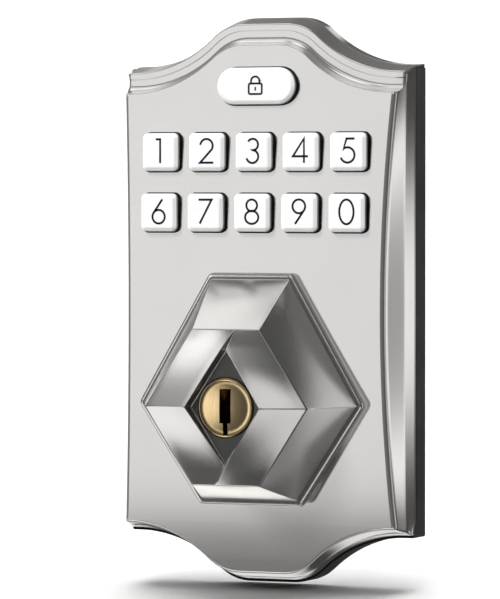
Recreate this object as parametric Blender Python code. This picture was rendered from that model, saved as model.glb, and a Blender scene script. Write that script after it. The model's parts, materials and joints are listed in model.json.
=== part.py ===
"""Outside assembly of a keypad deadbolt, modelled as separate pieces.

Frame: X to the right and Z up as seen from outside the door, +Y into the door.
The origin is where the key cylinder's axis crosses the door's outer face.
Depths below are measured outwards from the door face, so depth d lies at y = -d.
All sizes are in millimetres and become metres when a mesh is made.
"""
import math

import bmesh
import bpy
from mathutils import Matrix, Vector

MM = 0.001

# ---- driving dimensions -------------------------------------------------------------
# Escutcheon outline: straight sides, a domed top and a domed bottom.
BACK_HALF_WIDTH = 37.0
BACK_TOP_CORNER = 80.5
BACK_BOTTOM_CORNER = -30.9
FACE_HALF_WIDTH = 35.4
FACE_WAIST_HALF_WIDTH = 33.5
FACE_TOP_CORNER = 74.3
FACE_BOTTOM_CORNER = -29.1
DOME_RISE = 11.5
DOME_ANGLE = math.radians(43.0)
DOME_CROWN_RADIUS = 11.7
DOME_FLAT_INNER = 4.5
DOME_FLAT_OUTER = 5.7

# Escutcheon depths.
GASKET_DEPTH = 5.7
BACK_DEPTH = 6.0
PLATEAU_DEPTH = 10.9
PLATEAU_TOP_CORNER = 79.2
PLATEAU_LOW_CORNER = 76.3
CREST_DEPTH = 17.7
FACE_BULGE = 2.7
WALL = 1.8
FACE_MIDDLE = 0.5 * (FACE_TOP_CORNER + FACE_BOTTOM_CORNER)
FACE_HALF_HEIGHT = 0.5 * (FACE_TOP_CORNER - FACE_BOTTOM_CORNER)

# Keypad.
KEY_PITCH_X = 12.2
KEY_WIDTH = 9.4
KEY_HEIGHT = 9.1
KEY_CORNER = 1.3
KEY_ROWS = (60.1, 45.65)
KEY_ORDER = ("12345", "67890")
KEY_PROUD = 2.0
KEY_TRAVEL = 1.0
LOCK_KEY_CENTRE = 75.8
LOCK_KEY_WIDTH = 20.3
LOCK_KEY_HEIGHT = 8.8
WINDOW_GAP = 0.3
FLANGE_LIP = 0.8
BOARD_BACK = 7.5
BOARD_THICK = 1.2
MEMBRANE_BACK = 9.0
MEMBRANE_THICK = 1.2
FLANGE_BACK = MEMBRANE_BACK + MEMBRANE_THICK + KEY_TRAVEL + 0.2
DOME_TOP = 11.1

# Outside turn (the faceted knob) and the cylinder it surrounds.
TURN_BACK = 18.1
RIM_TOP = 20.0
FACET_TOP = 34.2
CREST_EDGE = 36.5
POCKET_FLOOR = 33.9
BARREL_RADIUS = 14.3
BARREL_FRONT = 32.2
BARREL_BACK = 10.2
TURN_BORE = 15.0
COLLAR_RADIUS = 18.4
COLLAR_BACK = 5.0
PLUG_HEAD_RADIUS = 7.0
PLUG_RADIUS = 6.3
PLUG_FACE = 34.5
PIN_COUNT = 5
PIN_PITCH = 3.8
FIRST_PIN = 28.2
PIN_RADIUS = 1.3
CHAMBER_RADIUS = 1.55
SEAT_RADIUS = 22.0
SEAT_FRONT = 18.0
SEAT_BACK = 12.5

# Chassis, posts and tailpiece.
PLATE_BACK = 2.0
PLATE_THICK = 1.5
POST_X = 19.8
POST_RADIUS = 3.8
POST_END = -14.0
TAIL_WIDTH = 7.0
TAIL_THICK = 2.0
TAIL_FRONT = 9.6
TAIL_END = -52.0

# Clutch that joins the turn to the drive hub.
CLUTCH_DEPTH = 7.5
CLUTCH_TRAVEL = 2.5
SHOE_INNER = COLLAR_RADIUS + 0.3 + CLUTCH_TRAVEL
SHOE_OUTER = SHOE_INNER + 2.4
SHOE_BACK = 5.5
SHOE_FRONT = 9.6
MOTOR_DEPTH = 8.7
MOTOR_RADIUS = 3.0
MOTOR_LOW = 30.3
MOTOR_HIGH = 39.3

GAP = 0.3
ROUND_SIDES = 36
SMALL_SIDES = 12


# ---- materials ----------------------------------------------------------------------
def material(name, colour, roughness, metallic):
    mat = bpy.data.materials.new(name)
    mat.use_nodes = True
    shader = mat.node_tree.nodes["Principled BSDF"]
    shader.inputs["Base Color"].default_value = (*colour, 1.0)
    shader.inputs["Roughness"].default_value = roughness
    shader.inputs["Metallic"].default_value = metallic
    return mat


# ---- mesh helpers -------------------------------------------------------------------
def at(x, depth, z):
    """A point in metres from millimetres and a depth outwards from the door."""
    return Vector((x * MM, -depth * MM, z * MM))


def add_object(name, bm, mat, place=(0.0, 0.0, 0.0), parent=None):
    """Turn a bmesh given in world metres into an object whose origin is at place."""
    origin = at(*place)
    bmesh.ops.recalc_face_normals(bm, faces=bm.faces)
    bmesh.ops.translate(bm, verts=bm.verts, vec=-origin)
    mesh = bpy.data.meshes.new(name)
    bm.to_mesh(mesh)
    bm.free()
    mesh.shade_smooth()
    mesh.set_sharp_from_angle(angle=math.radians(35.0))
    obj = bpy.data.objects.new(name, mesh)
    bpy.context.scene.collection.objects.link(obj)
    obj.location = origin
    if parent is not None:
        obj.parent = parent
        obj.location = origin - parent.location
    if mat is not None:
        mesh.materials.append(mat)
    return obj


def add_pivot(name, depth):
    """An empty on the cylinder axis, for pieces that turn together."""
    pivot = bpy.data.objects.new(name, None)
    bpy.context.scene.collection.objects.link(pivot)
    pivot.location = at(0.0, depth, 0.0)
    return pivot


def loft(rings, first_cap=True, last_cap=True):
    """Skin closed rings of equal point counts; rings hold (x, depth, z)."""
    bm = bmesh.new()
    loops = [[bm.verts.new(at(*p)) for p in ring] for ring in rings]
    for low, high in zip(loops, loops[1:]):
        for i in range(len(low)):
            j = (i + 1) % len(low)
            bm.faces.new((low[i], low[j], high[j], high[i]))
    if first_cap:
        bm.faces.new(loops[0])
    if last_cap:
        bm.faces.new(loops[-1])
    return bm


def slab(outline, back, front):
    """Extrude a flat outline of (x, z) points between two depths."""
    return loft([[(x, d, z) for x, z in outline] for d in (back, front)])


def turned(profile, sides=ROUND_SIDES):
    """Turn a closed profile of (radius, depth) about the cylinder axis."""
    bm = bmesh.new()
    columns = []
    for radius, depth in profile:
        if radius == 0.0:
            columns.append([bm.verts.new(at(0.0, depth, 0.0))] * sides)
            continue
        ring = []
        for i in range(sides):
            a = 2.0 * math.pi * i / sides
            ring.append(bm.verts.new(at(radius * math.sin(a), depth, radius * math.cos(a))))
        columns.append(ring)
    for k in range(len(columns)):
        low, high = columns[k], columns[(k + 1) % len(columns)]
        for i in range(sides):
            j = (i + 1) % sides
            corners = []
            for v in (low[i], low[j], high[j], high[i]):
                if v not in corners:
                    corners.append(v)
            if len(corners) > 2:
                bm.faces.new(corners)
    return bm


def disc(radius, back, front, sides=ROUND_SIDES):
    return turned([(0.0, back), (radius, back), (radius, front), (0.0, front)], sides)


def tube(inner, outer, back, front, sides=ROUND_SIDES):
    return turned([(inner, back), (outer, back), (outer, front), (inner, front)], sides)


def moved(bm, x=0.0, z=0.0):
    bmesh.ops.translate(bm, verts=bm.verts, vec=at(x, 0.0, z))
    return bm


def upright(bm, x, depth, z):
    """Stand a piece turned about Y on the Z axis: its depth becomes height."""
    bmesh.ops.rotate(bm, verts=bm.verts, matrix=Matrix.Rotation(math.radians(-90.0), 3, "X"))
    bmesh.ops.translate(bm, verts=bm.verts, vec=at(x, depth, z))
    return bm


def rounded_rectangle(width, height, radius, steps=3, x=0.0, z=0.0):
    points = []
    for corner in range(4):
        a0 = math.pi * 0.5 * corner
        cx = (width * 0.5 - radius) * (1.0 if corner in (0, 3) else -1.0)
        cz = (height * 0.5 - radius) * (1.0 if corner in (0, 1) else -1.0)
        for k in range(steps + 1):
            a = a0 + 0.5 * math.pi * k / steps
            points.append((x + cx + radius * math.cos(a), z + cz + radius * math.sin(a)))
    return points


def rounded_polygon(corners, radius, steps=2):
    """Round each corner of a convex polygon with a tangent arc."""
    points = []
    for i, corner in enumerate(corners):
        here = Vector(corner)
        back = (Vector(corners[i - 1]) - here).normalized()
        ahead = (Vector(corners[(i + 1) % len(corners)]) - here).normalized()
        half = 0.5 * back.angle(ahead)
        centre = here + (back + ahead).normalized() * (radius / math.sin(half))
        start = here + back * (radius / math.tan(half)) - centre
        stop = here + ahead * (radius / math.tan(half)) - centre
        for k in range(steps + 1):
            arm = start.lerp(stop, k / steps).normalized() * radius
            points.append(tuple(centre + arm))
    return points


def box(x0, x1, back, front, z0, z1):
    return slab([(x0, z0), (x1, z0), (x1, z1), (x0, z1)], back, front)


def sector(inner, outer, start_deg, stop_deg, back, front, steps=12):
    """A piece of a ring, angles anticlockwise from +X."""
    angles = [math.radians(start_deg + (stop_deg - start_deg) * k / steps) for k in range(steps + 1)]
    outline = [(outer * math.cos(a), outer * math.sin(a)) for a in angles]
    outline += [(inner * math.cos(a), inner * math.sin(a)) for a in reversed(angles)]
    return slab(outline, back, front)


def coil(radius, wire, turns, low, high, steps, sides=5):
    """A round wire wound about the cylinder axis between two depths."""
    count = int(turns * steps) + 1
    rings = []
    for k in range(count):
        a = 2.0 * math.pi * k / steps
        depth = low + (high - low) * k / (count - 1)
        ring = []
        for s in range(sides):
            b = 2.0 * math.pi * s / sides
            r = radius + wire * math.cos(b)
            ring.append((r * math.sin(a), depth + wire * math.sin(b), r * math.cos(a)))
        rings.append(ring)
    return loft(rings)


def cutter(name, bm):
    """A shape that only cuts or joins another, and isn't a piece itself."""
    obj = add_object(name, bm, None)
    obj.hide_render = True
    obj.display_type = "WIRE"
    return obj


def combine(target, operation, name, bm):
    modifier = target.modifiers.new(name, "BOOLEAN")
    modifier.operation = operation
    modifier.solver = "EXACT"
    modifier.object = cutter(name, bm)
    return modifier


def join(target, name, bm):
    return combine(target, "UNION", name, bm)


def cut(target, name, bm):
    return combine(target, "DIFFERENCE", name, bm)


# ---- escutcheon ---------------------------------------------------------------------
def face_depth(z):
    """The front face is arched: deepest at its middle, falling to both ends."""
    t = (z - FACE_MIDDLE) / FACE_HALF_HEIGHT
    return CREST_DEPTH - FACE_BULGE * t * t


def face_half_width(z):
    """The side walls lean in most at the middle of the arch."""
    t = min(1.0, abs(z - FACE_MIDDLE) / FACE_HALF_HEIGHT)
    return FACE_WAIST_HALF_WIDTH + (FACE_HALF_WIDTH - FACE_WAIST_HALF_WIDTH) * t * t


def dome_curve(flat, half_width, crown_steps=4, foot_steps=5):
    """(x, rise) from the crown flat's end to the corner: crown arc, foot arc, shoulder."""
    drop = 1.0 - math.cos(DOME_ANGLE)
    foot_radius = DOME_RISE / drop - DOME_CROWN_RADIUS
    points = []
    for k in range(crown_steps + 1):
        a = DOME_ANGLE * k / crown_steps
        x = flat + DOME_CROWN_RADIUS * math.sin(a)
        points.append((x, DOME_RISE - DOME_CROWN_RADIUS * (1.0 - math.cos(a))))
    foot_end = flat + (DOME_CROWN_RADIUS + foot_radius) * math.sin(DOME_ANGLE)
    for k in range(1, foot_steps + 1):
        a = DOME_ANGLE * (1.0 - k / foot_steps)
        points.append((foot_end - foot_radius * math.sin(a), foot_radius * (1.0 - math.cos(a))))
    scale = (half_width - 0.4) / max(foot_end, half_width - 0.4)
    points = [(x * scale, rise + 0.15) for x, rise in points]
    return points + [(half_width, 0.0)]


def half_outline(half_width, top_corner, bottom_corner, top_flat, bottom_flat, side_steps=8):
    """(part, x, z) down the right-hand side, from the top crown to the bottom crown."""
    points = [("top", x, top_corner + r) for x, r in dome_curve(top_flat, half_width)]
    for k in range(1, side_steps):
        z = top_corner + (bottom_corner - top_corner) * k / side_steps
        points.append(("side", half_width, z))
    bottom = dome_curve(bottom_flat, half_width)
    points += [("bottom", x, bottom_corner - r) for x, r in reversed(bottom)]
    return points


def full_ring(half):
    """Mirror a half outline of (x, depth, z) into a closed ring."""
    return half + [(-x, d, z) for x, d, z in reversed(half)]


def shell_ring(side_depth, width, top_depth, top_corner, bottom_corner, top_flat, arched):
    """One ring of the shell; arched rings follow the front face and its waist."""
    half = []
    outline = half_outline(width, top_corner, bottom_corner, top_flat, DOME_FLAT_OUTER)
    for part, x, z in outline:
        depth = top_depth if part == "top" else side_depth
        if arched:
            depth = face_depth(z) - (CREST_DEPTH - side_depth)
            x *= face_half_width(z) / FACE_HALF_WIDTH
        half.append((x, depth, z))
    return half


def ladder_cap(bm, loop):
    """Fill a ring with strips from its right half to its left half."""
    for i in range(len(loop) // 2 - 1):
        bm.faces.new((loop[i], loop[i + 1], loop[-i - 2], loop[-i - 1]))


def cove_ring(low, face, share):
    """A ring between the plateau and the face: a hollow curve along the top, straight elsewhere."""
    a = 0.5 * math.pi * share
    top_points = len(dome_curve(DOME_FLAT_INNER, FACE_HALF_WIDTH))
    ring = []
    for i, ((x0, d0, z0), (x1, d1, z1)) in enumerate(zip(low, face)):
        forward, down = (1.0 - math.cos(a), math.sin(a)) if i < top_points else (share, share)
        ring.append((x0 + (x1 - x0) * forward, d0 + (d1 - d0) * forward, z0 + (z1 - z0) * down))
    return ring


def wall_width(depth):
    """Half width of the side wall at a depth, between the back rim and the face."""
    face_end = CREST_DEPTH - FACE_BULGE
    t = (depth - BACK_DEPTH) / (face_end - BACK_DEPTH)
    return BACK_HALF_WIDTH + (FACE_HALF_WIDTH - BACK_HALF_WIDTH) * t


def wall_bottom(depth):
    face_end = CREST_DEPTH - FACE_BULGE
    t = (depth - BACK_DEPTH) / (face_end - BACK_DEPTH)
    return BACK_BOTTOM_CORNER + (FACE_BOTTOM_CORNER - BACK_BOTTOM_CORNER) * t


def escutcheon_mesh():
    """Hollow cast shell with the stepped moulding along its top edge."""
    halves = [
        shell_ring(BACK_DEPTH, BACK_HALF_WIDTH, BACK_DEPTH, BACK_TOP_CORNER,
                   BACK_BOTTOM_CORNER, DOME_FLAT_OUTER, False),
        shell_ring(PLATEAU_DEPTH - 1.0, wall_width(PLATEAU_DEPTH - 1.0), PLATEAU_DEPTH,
                   PLATEAU_TOP_CORNER, wall_bottom(PLATEAU_DEPTH - 1.0), DOME_FLAT_OUTER, False),
        shell_ring(PLATEAU_DEPTH, wall_width(PLATEAU_DEPTH), PLATEAU_DEPTH,
                   PLATEAU_LOW_CORNER, wall_bottom(PLATEAU_DEPTH), DOME_FLAT_INNER, False),
    ]
    face = shell_ring(CREST_DEPTH, FACE_HALF_WIDTH, CREST_DEPTH, FACE_TOP_CORNER,
                      FACE_BOTTOM_CORNER, DOME_FLAT_INNER, True)
    low = halves[-1]
    halves += [cove_ring(low, face, share) for share in (0.33, 0.67)] + [face]
    ledge = PLATEAU_DEPTH - WALL
    inner = [
        shell_ring(BACK_DEPTH, BACK_HALF_WIDTH - WALL, BACK_DEPTH, BACK_TOP_CORNER - WALL,
                   BACK_BOTTOM_CORNER + WALL, DOME_FLAT_OUTER - 1.0, False),
        shell_ring(ledge, wall_width(ledge) - WALL, ledge, PLATEAU_TOP_CORNER - WALL,
                   wall_bottom(ledge) + WALL, DOME_FLAT_OUTER - 1.0, False),
        shell_ring(ledge + 0.6, wall_width(ledge + 0.6) - WALL, ledge + 0.6,
                   FACE_TOP_CORNER - WALL, wall_bottom(ledge + 0.6) + WALL,
                   DOME_FLAT_INNER - 1.0, False),
        shell_ring(CREST_DEPTH - WALL, FACE_HALF_WIDTH - WALL, CREST_DEPTH - WALL,
                   FACE_TOP_CORNER - WALL, FACE_BOTTOM_CORNER + WALL,
                   DOME_FLAT_INNER - 1.0, True),
    ]
    rings = [full_ring(h) for h in reversed(inner)] + [full_ring(h) for h in halves]
    bm = loft(rings, first_cap=False, last_cap=False)
    bm.verts.ensure_lookup_table()
    count = len(rings[0])
    ladder_cap(bm, bm.verts[:count])
    ladder_cap(bm, bm.verts[-count:])
    return bm


BOARD_SCREWS = [(x, z) for x in (-24.0, 24.0) for z in (36.6, 69.2)]
CHASSIS_SCREWS = [(x, z) for x in (-29.5, 29.5) for z in (-22.5, 72.2)]


def key_centres():
    for row, z in enumerate(KEY_ROWS):
        for column, digit in enumerate(KEY_ORDER[row]):
            yield digit, (column - 2) * KEY_PITCH_X, z


def make_escutcheon(mat):
    obj = add_object("escutcheon", escutcheon_mesh(), mat)
    seat = disc(SEAT_RADIUS, SEAT_BACK, SEAT_FRONT)
    join(obj, "cut_seat_boss", seat)
    for i, (x, z) in enumerate(BOARD_SCREWS):
        front = face_depth(z) - 0.9
        back = BOARD_BACK + BOARD_THICK + GAP
        join(obj, f"cut_board_boss_{i}", moved(disc(2.6, back, front, SMALL_SIDES), x, z))
        cut(obj, f"cut_board_pilot_{i}", moved(disc(1.4, back - 1.0, back + 3.2, 10), x, z))
    for i, (x, z) in enumerate(CHASSIS_SCREWS):
        front = face_depth(z) - 0.9 if z < 0 else PLATEAU_DEPTH
        back = PLATE_BACK + PLATE_THICK + GAP
        join(obj, f"cut_chassis_boss_{i}", moved(disc(2.8, back, front, SMALL_SIDES), x, z))
        cut(obj, f"cut_chassis_pilot_{i}", moved(disc(1.4, back - 1.0, back + 5.0, 10), x, z))
    cut(obj, "cut_turn_bore", disc(COLLAR_RADIUS + 0.4, 4.0, 25.0))
    for digit, x, z in key_centres():
        outline = rounded_rectangle(KEY_WIDTH + 2 * WINDOW_GAP, KEY_HEIGHT + 2 * WINDOW_GAP,
                                    KEY_CORNER + WINDOW_GAP, 2, x, z)
        cut(obj, f"cut_window_{digit}", slab(outline, 10.0, 25.0))
    outline = rounded_rectangle(LOCK_KEY_WIDTH + 2 * WINDOW_GAP, LOCK_KEY_HEIGHT + 2 * WINDOW_GAP,
                                0.5 * LOCK_KEY_HEIGHT + WINDOW_GAP - 0.01, 5, 0.0, LOCK_KEY_CENTRE)
    cut(obj, "cut_window_lock", slab(outline, 10.0, 25.0))
    return obj


# ---- back of the lock ---------------------------------------------------------------
def flat_outline(margin, flat, extra_height=0.0):
    """The back outline moved inwards by a margin, as (x, z) points."""
    half = half_outline(BACK_HALF_WIDTH - margin, BACK_TOP_CORNER + extra_height - margin,
                        BACK_BOTTOM_CORNER - extra_height + margin, flat, flat, side_steps=2)
    right = [(x, z) for _, x, z in half]
    return right + [(-x, z) for x, z in reversed(right)]


def make_gasket(mat):
    """Deep rubber seal with an inward lip that the chassis plate clamps to the door."""
    wall_out = flat_outline(0.0, DOME_FLAT_OUTER, 0.6)
    wall_in = flat_outline(3.2, DOME_FLAT_OUTER - 1.5)
    lip_in = flat_outline(5.0, DOME_FLAT_OUTER - 2.5)
    lip_front = PLATE_BACK - GAP

    def ring(outline, depth):
        return [(x, depth, z) for x, z in outline]

    rings = [ring(lip_in, 0.0), ring(wall_out, 0.0), ring(wall_out, GASKET_DEPTH),
             ring(wall_in, GASKET_DEPTH), ring(wall_in, lip_front), ring(lip_in, lip_front),
             ring(lip_in, 0.0)]
    bm = loft(rings, first_cap=False, last_cap=False)
    bmesh.ops.remove_doubles(bm, verts=bm.verts, dist=1e-6)
    return add_object("rear_gasket", bm, mat)


def make_chassis(plate_mat, screw_mat):
    back, front = PLATE_BACK, PLATE_BACK + PLATE_THICK
    plate = add_object("chassis_plate", slab(flat_outline(3.6, DOME_FLAT_OUTER - 1.5), back, front),
                       plate_mat)
    cut(plate, "cut_tail_hole", disc(7.4, 0.0, 6.0, 24))
    for side, x in (("left", -POST_X), ("right", POST_X)):
        cut(plate, f"cut_post_{side}", moved(disc(2.8, 0.0, 6.0, SMALL_SIDES), x))
    outlet = rounded_rectangle(14.0, 6.4, 1.5, 2, 0.0, -22.6)
    cut(plate, "cut_cable_outlet", slab(outlet, 0.0, 6.0))
    for i, (x, z) in enumerate(CHASSIS_SCREWS):
        cut(plate, f"cut_plate_screw_{i}", moved(disc(1.6, 0.0, 6.0, 10), x, z))
        make_screw(f"chassis_screw_{i + 1}", x, z, back - GAP, 5.4, screw_mat)
    for i, (x, z) in enumerate(cylinder_screw_places()):
        cut(plate, f"cut_cylinder_screw_{i}", moved(disc(1.6, 0.0, 6.0, 10), x, z))
        make_screw(f"cylinder_screw_{i + 1}", x, z, back - GAP, 6.6, screw_mat)
    return plate


def make_screw(name, x, z, head_front, length, mat):
    """Cheese-head screw driven from the back, with a driver slot across its head."""
    head = 1.3
    profile = [(0.0, head_front - head), (1.7, head_front - head), (2.2, head_front - 0.6 * head),
               (2.2, head_front), (1.1, head_front), (1.1, head_front + length),
               (0.0, head_front + length)]
    screw = add_object(name, moved(turned(profile, 10), x, z), mat, (x, head_front, z))
    slot = box(x - 1.3, x + 1.3, head_front - head - 1.0, head_front - head + 0.6, z - 0.3, z + 0.3)
    cut(screw, f"cut_{name}_slot", slot)
    return screw


def make_posts(mat):
    """Threaded posts riveted to the plate; the through-bolts from inside screw into them."""
    shoulder = PLATE_BACK - GAP
    rivet = PLATE_BACK + PLATE_THICK + GAP
    profile = [(0.0, POST_END + 12.0), (2.1, POST_END + 12.0), (2.1, POST_END),
               (POST_RADIUS - 0.5, POST_END), (POST_RADIUS, POST_END + 0.5),
               (POST_RADIUS, shoulder), (2.5, shoulder), (2.5, rivet), (3.4, rivet),
               (3.0, rivet + 0.7), (0.0, rivet + 0.7)]
    for side, x in (("left", -POST_X), ("right", POST_X)):
        add_object(f"mounting_post_{side}", moved(turned(profile, 16), x), mat, (x, 0.0, 0.0))


# ---- keypad -------------------------------------------------------------------------
def cap_rings(outline_at, back, front, flange_back, flange_front, flange_lip, edge):
    """Rings of a key cap: a flange behind the face, then the body and its rounded edge."""
    steps = [(flange_lip, flange_back), (flange_lip, flange_front), (0.0, flange_front),
             (0.0, front - edge)]
    for share in (0.5, 1.0):
        a = 0.5 * math.pi * share
        steps.append((-edge * (1.0 - math.cos(a)), front - edge + edge * math.sin(a)))
    return [[(x, depth, z) for x, z in outline_at(grow)] for grow, depth in steps]


def make_key(name, x, z, width, height, corner, mat):
    """A key cap with its retaining flange and a pocket that clears the rubber dome."""
    front = face_depth(z) + KEY_PROUD
    reach = 0.5 * height + FLANGE_LIP
    flange_front = min(face_depth(z + reach), face_depth(z - reach)) - WALL - GAP

    def outline_at(grow):
        return rounded_rectangle(width + 2 * grow, height + 2 * grow, corner + grow,
                                 5 if corner > 3.0 else 2, x, z)

    rings = cap_rings(outline_at, FLANGE_BACK, front, FLANGE_BACK, flange_front, FLANGE_LIP, 0.6)
    key = add_object(name, loft(rings), mat, (x, FLANGE_BACK, z))
    cut(key, f"cut_{name}_pocket", moved(disc(3.0, FLANGE_BACK - 1.0, FLANGE_BACK + 0.9, 10), x, z))
    return key


def make_keypad(key_mat, rubber_mat, board_mat, part_mat, screw_mat):
    for digit, x, z in key_centres():
        make_key(f"key_{digit}", x, z, KEY_WIDTH, KEY_HEIGHT, KEY_CORNER, key_mat)
    make_key("lock_key", 0.0, LOCK_KEY_CENTRE, LOCK_KEY_WIDTH, LOCK_KEY_HEIGHT,
             0.5 * LOCK_KEY_HEIGHT - 0.01, key_mat)

    def pad_outline(margin):
        """Board outline: a notch for the motor below, steps that clear the screw bosses above."""
        notch, side, step, tab = 5.0 + margin, 30.8 - margin, 26.3 - margin, 10.8 - margin
        right = [(notch, 40.3 + margin), (notch, 33.2 + margin), (side, 33.2 + margin),
                 (side, 66.6 - margin), (step, 66.6 - margin), (step, 71.6 - margin),
                 (tab, 71.6 - margin), (tab, 80.3 - margin)]
        return right + [(-x, z) for x, z in reversed(right)]

    board = add_object("keypad_board", slab(pad_outline(0.0), BOARD_BACK, BOARD_BACK + BOARD_THICK),
                       board_mat)
    membrane = add_object("keypad_membrane",
                          slab(pad_outline(0.8), MEMBRANE_BACK, MEMBRANE_BACK + MEMBRANE_THICK),
                          rubber_mat)
    for i, (x, z) in enumerate(BOARD_SCREWS):
        cut(board, f"cut_board_hole_{i}", moved(disc(1.6, 6.0, 11.0, 10), x, z))
        cut(membrane, f"cut_membrane_hole_{i}", moved(disc(3.2, 8.0, 13.0, SMALL_SIDES), x, z))
        make_screw(f"board_screw_{i + 1}", x, z, BOARD_BACK - GAP, 4.2, screw_mat)
    domes = [(f"dome_{digit}", x, z) for digit, x, z in key_centres()]
    domes.append(("dome_lock", 0.0, LOCK_KEY_CENTRE))
    for name, x, z in domes:
        base = MEMBRANE_BACK + MEMBRANE_THICK - 0.4
        profile = [(0.0, base), (2.5, base), (1.6, DOME_TOP), (0.0, DOME_TOP)]
        join(membrane, f"cut_{name}", moved(turned(profile, 10), x, z))
    back = BOARD_BACK - GAP
    connector = add_object("cable_connector", box(6.0, 18.0, back - 3.2, back, 50.0, 55.0), part_mat)
    cut(connector, "cut_connector_socket", box(7.0, 17.0, back - 6.0, back - 1.2, 51.0, 54.0))
    buzzer = add_object("buzzer", moved(disc(4.8, back - 2.6, back, 24), -16.0, 54.0), part_mat,
                        (-16.0, back, 54.0))
    cut(buzzer, "cut_buzzer_hole", moved(disc(0.9, back - 4.0, back - 1.4, 8), -16.0, 54.0))


# ---- key cylinder -------------------------------------------------------------------
def cylinder_screw_places():
    return [(11.3 * math.cos(math.radians(a)), 11.3 * math.sin(math.radians(a))) for a in (238, 302)]


def pin_depths():
    return [FIRST_PIN - PIN_PITCH * i for i in range(PIN_COUNT)]


def make_cylinder(body_mat, brass_mat, spring_mat):
    """Fixed barrel with five pin chambers; a half-moon foot stands on the chassis plate."""
    barrel = add_object("cylinder_body",
                        tube(PLUG_RADIUS + 0.2, BARREL_RADIUS, BARREL_BACK, BARREL_FRONT), body_mat)
    foot_back = PLATE_BACK + PLATE_THICK + GAP
    join(barrel, "cut_barrel_foot", sector(8.4, 14.2, 215, 325, foot_back, BARREL_BACK + 0.6))
    for i, (x, z) in enumerate(cylinder_screw_places()):
        cut(barrel, f"cut_foot_pilot_{i}", moved(disc(1.4, foot_back - 1.0, 9.6, 10), x, z))
    cover_floor = 13.2
    cut(barrel, "cut_cover_slot", box(-2.4, 2.4, 11.2, 30.0, cover_floor, 16.0))
    for i, depth in enumerate(pin_depths()):
        chamber = upright(disc(CHAMBER_RADIUS, 4.0, 15.0, 12), 0.0, depth, 0.0)
        cut(barrel, f"cut_chamber_{i}", chamber)
        driver = upright(turned([(0.0, 6.8), (PIN_RADIUS - 0.2, 6.8), (PIN_RADIUS, 7.1),
                                 (PIN_RADIUS, 9.4), (0.0, 9.4)], 12), 0.0, depth, 0.0)
        add_object(f"driver_pin_{i + 1}", driver, brass_mat, (0.0, depth, 6.8))
        spring = upright(coil(0.95, 0.2, 3.0, 9.95, 12.65, 7, 4), 0.0, depth, 0.0)
        add_object(f"pin_spring_{i + 1}", spring, spring_mat, (0.0, depth, 9.7))
    cover = box(-2.1, 2.1, 11.5, 29.7, cover_floor + GAP, 14.1)
    add_object("chamber_cover", cover, brass_mat, (0.0, 20.0, cover_floor))


def make_plug(pivot, brass_mat, steel_mat):
    """Rotating plug with its keyway, the key pins in it and what it drives."""
    profile = [(0.0, 8.8), (5.0, 8.8), (5.0, BARREL_BACK - GAP), (PLUG_RADIUS, BARREL_BACK - GAP),
               (PLUG_RADIUS, BARREL_FRONT + GAP), (PLUG_HEAD_RADIUS, BARREL_FRONT + GAP),
               (PLUG_HEAD_RADIUS, PLUG_FACE - 0.25), (PLUG_HEAD_RADIUS - 0.25, PLUG_FACE),
               (0.0, PLUG_FACE)]
    plug = add_object("key_plug", turned(profile), brass_mat, (0.0, PLUG_FACE, 0.0), pivot)
    cut(plug, "cut_keyway_wide", box(-1.45, 1.45, 11.0, 40.0, -3.7, 4.4))
    cut(plug, "cut_keyway_narrow", box(-0.6, 0.6, 11.0, 40.0, -6.5, -3.2))
    cut(plug, "cut_tail_slot", box(-0.5 * TAIL_THICK - GAP, 0.5 * TAIL_THICK + GAP, 8.0, TAIL_FRONT + GAP,
                                   -0.5 * TAIL_WIDTH - GAP, 0.5 * TAIL_WIDTH + GAP))
    for i, depth in enumerate(pin_depths()):
        hole = upright(disc(CHAMBER_RADIUS, 3.0, 8.0, 12), 0.0, depth, 0.0)
        cut(plug, f"cut_plug_chamber_{i}", hole)
        pin = upright(turned([(0.0, 1.6), (0.5, 1.6), (PIN_RADIUS, 2.6), (PIN_RADIUS, 5.9),
                              (0.0, 6.1)], 12), 0.0, depth, 0.0)
        add_object(f"key_pin_{i + 1}", pin, brass_mat, (0.0, depth, 1.6), pivot)
    retainer = tube(5.3, 8.0, 9.1, BARREL_BACK - GAP, 24)
    clip = add_object("plug_retainer", retainer, steel_mat, (0.0, 9.1, 0.0), pivot)
    cut(clip, "cut_retainer_gap", box(-4.0, 4.0, 8.0, 11.0, -9.0, 0.0))


def make_drive(pivot, hub_mat, steel_mat):
    """The hub's arm reaches out to the clutch pin; its slot carries the tailpiece."""
    back, front = 4.3, 8.4
    hub = add_object("drive_hub", disc(6.9, back - 1.6, front, 28), hub_mat, (0.0, back, 0.0), pivot)
    join(hub, "cut_hub_arm", box(-3.0, 3.0, back, front - 0.1, 3.0, 14.4))
    cut(hub, "cut_hub_notch", box(-1.5, 1.5, CLUTCH_DEPTH - 1.5, 10.0, 12.4, 16.0))
    cut(hub, "cut_hub_slot", box(-0.5 * TAIL_THICK - GAP, 0.5 * TAIL_THICK + GAP, 0.0, 10.0,
                                 -0.5 * TAIL_WIDTH - GAP, 0.5 * TAIL_WIDTH + GAP))
    half_w, half_t = 0.5 * TAIL_WIDTH, 0.5 * TAIL_THICK
    rings = []
    for depth, inset in ((TAIL_FRONT, 0.0), (TAIL_END + 3.0, 0.0), (TAIL_END, 1.2)):
        w, t = half_w - inset, half_t - 0.4 * inset
        rings.append([(-t, depth, -w), (t, depth, -w), (t, depth, w), (-t, depth, w)])
    add_object("tailpiece", loft(rings), steel_mat, (0.0, 0.0, 0.0), pivot)


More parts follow.
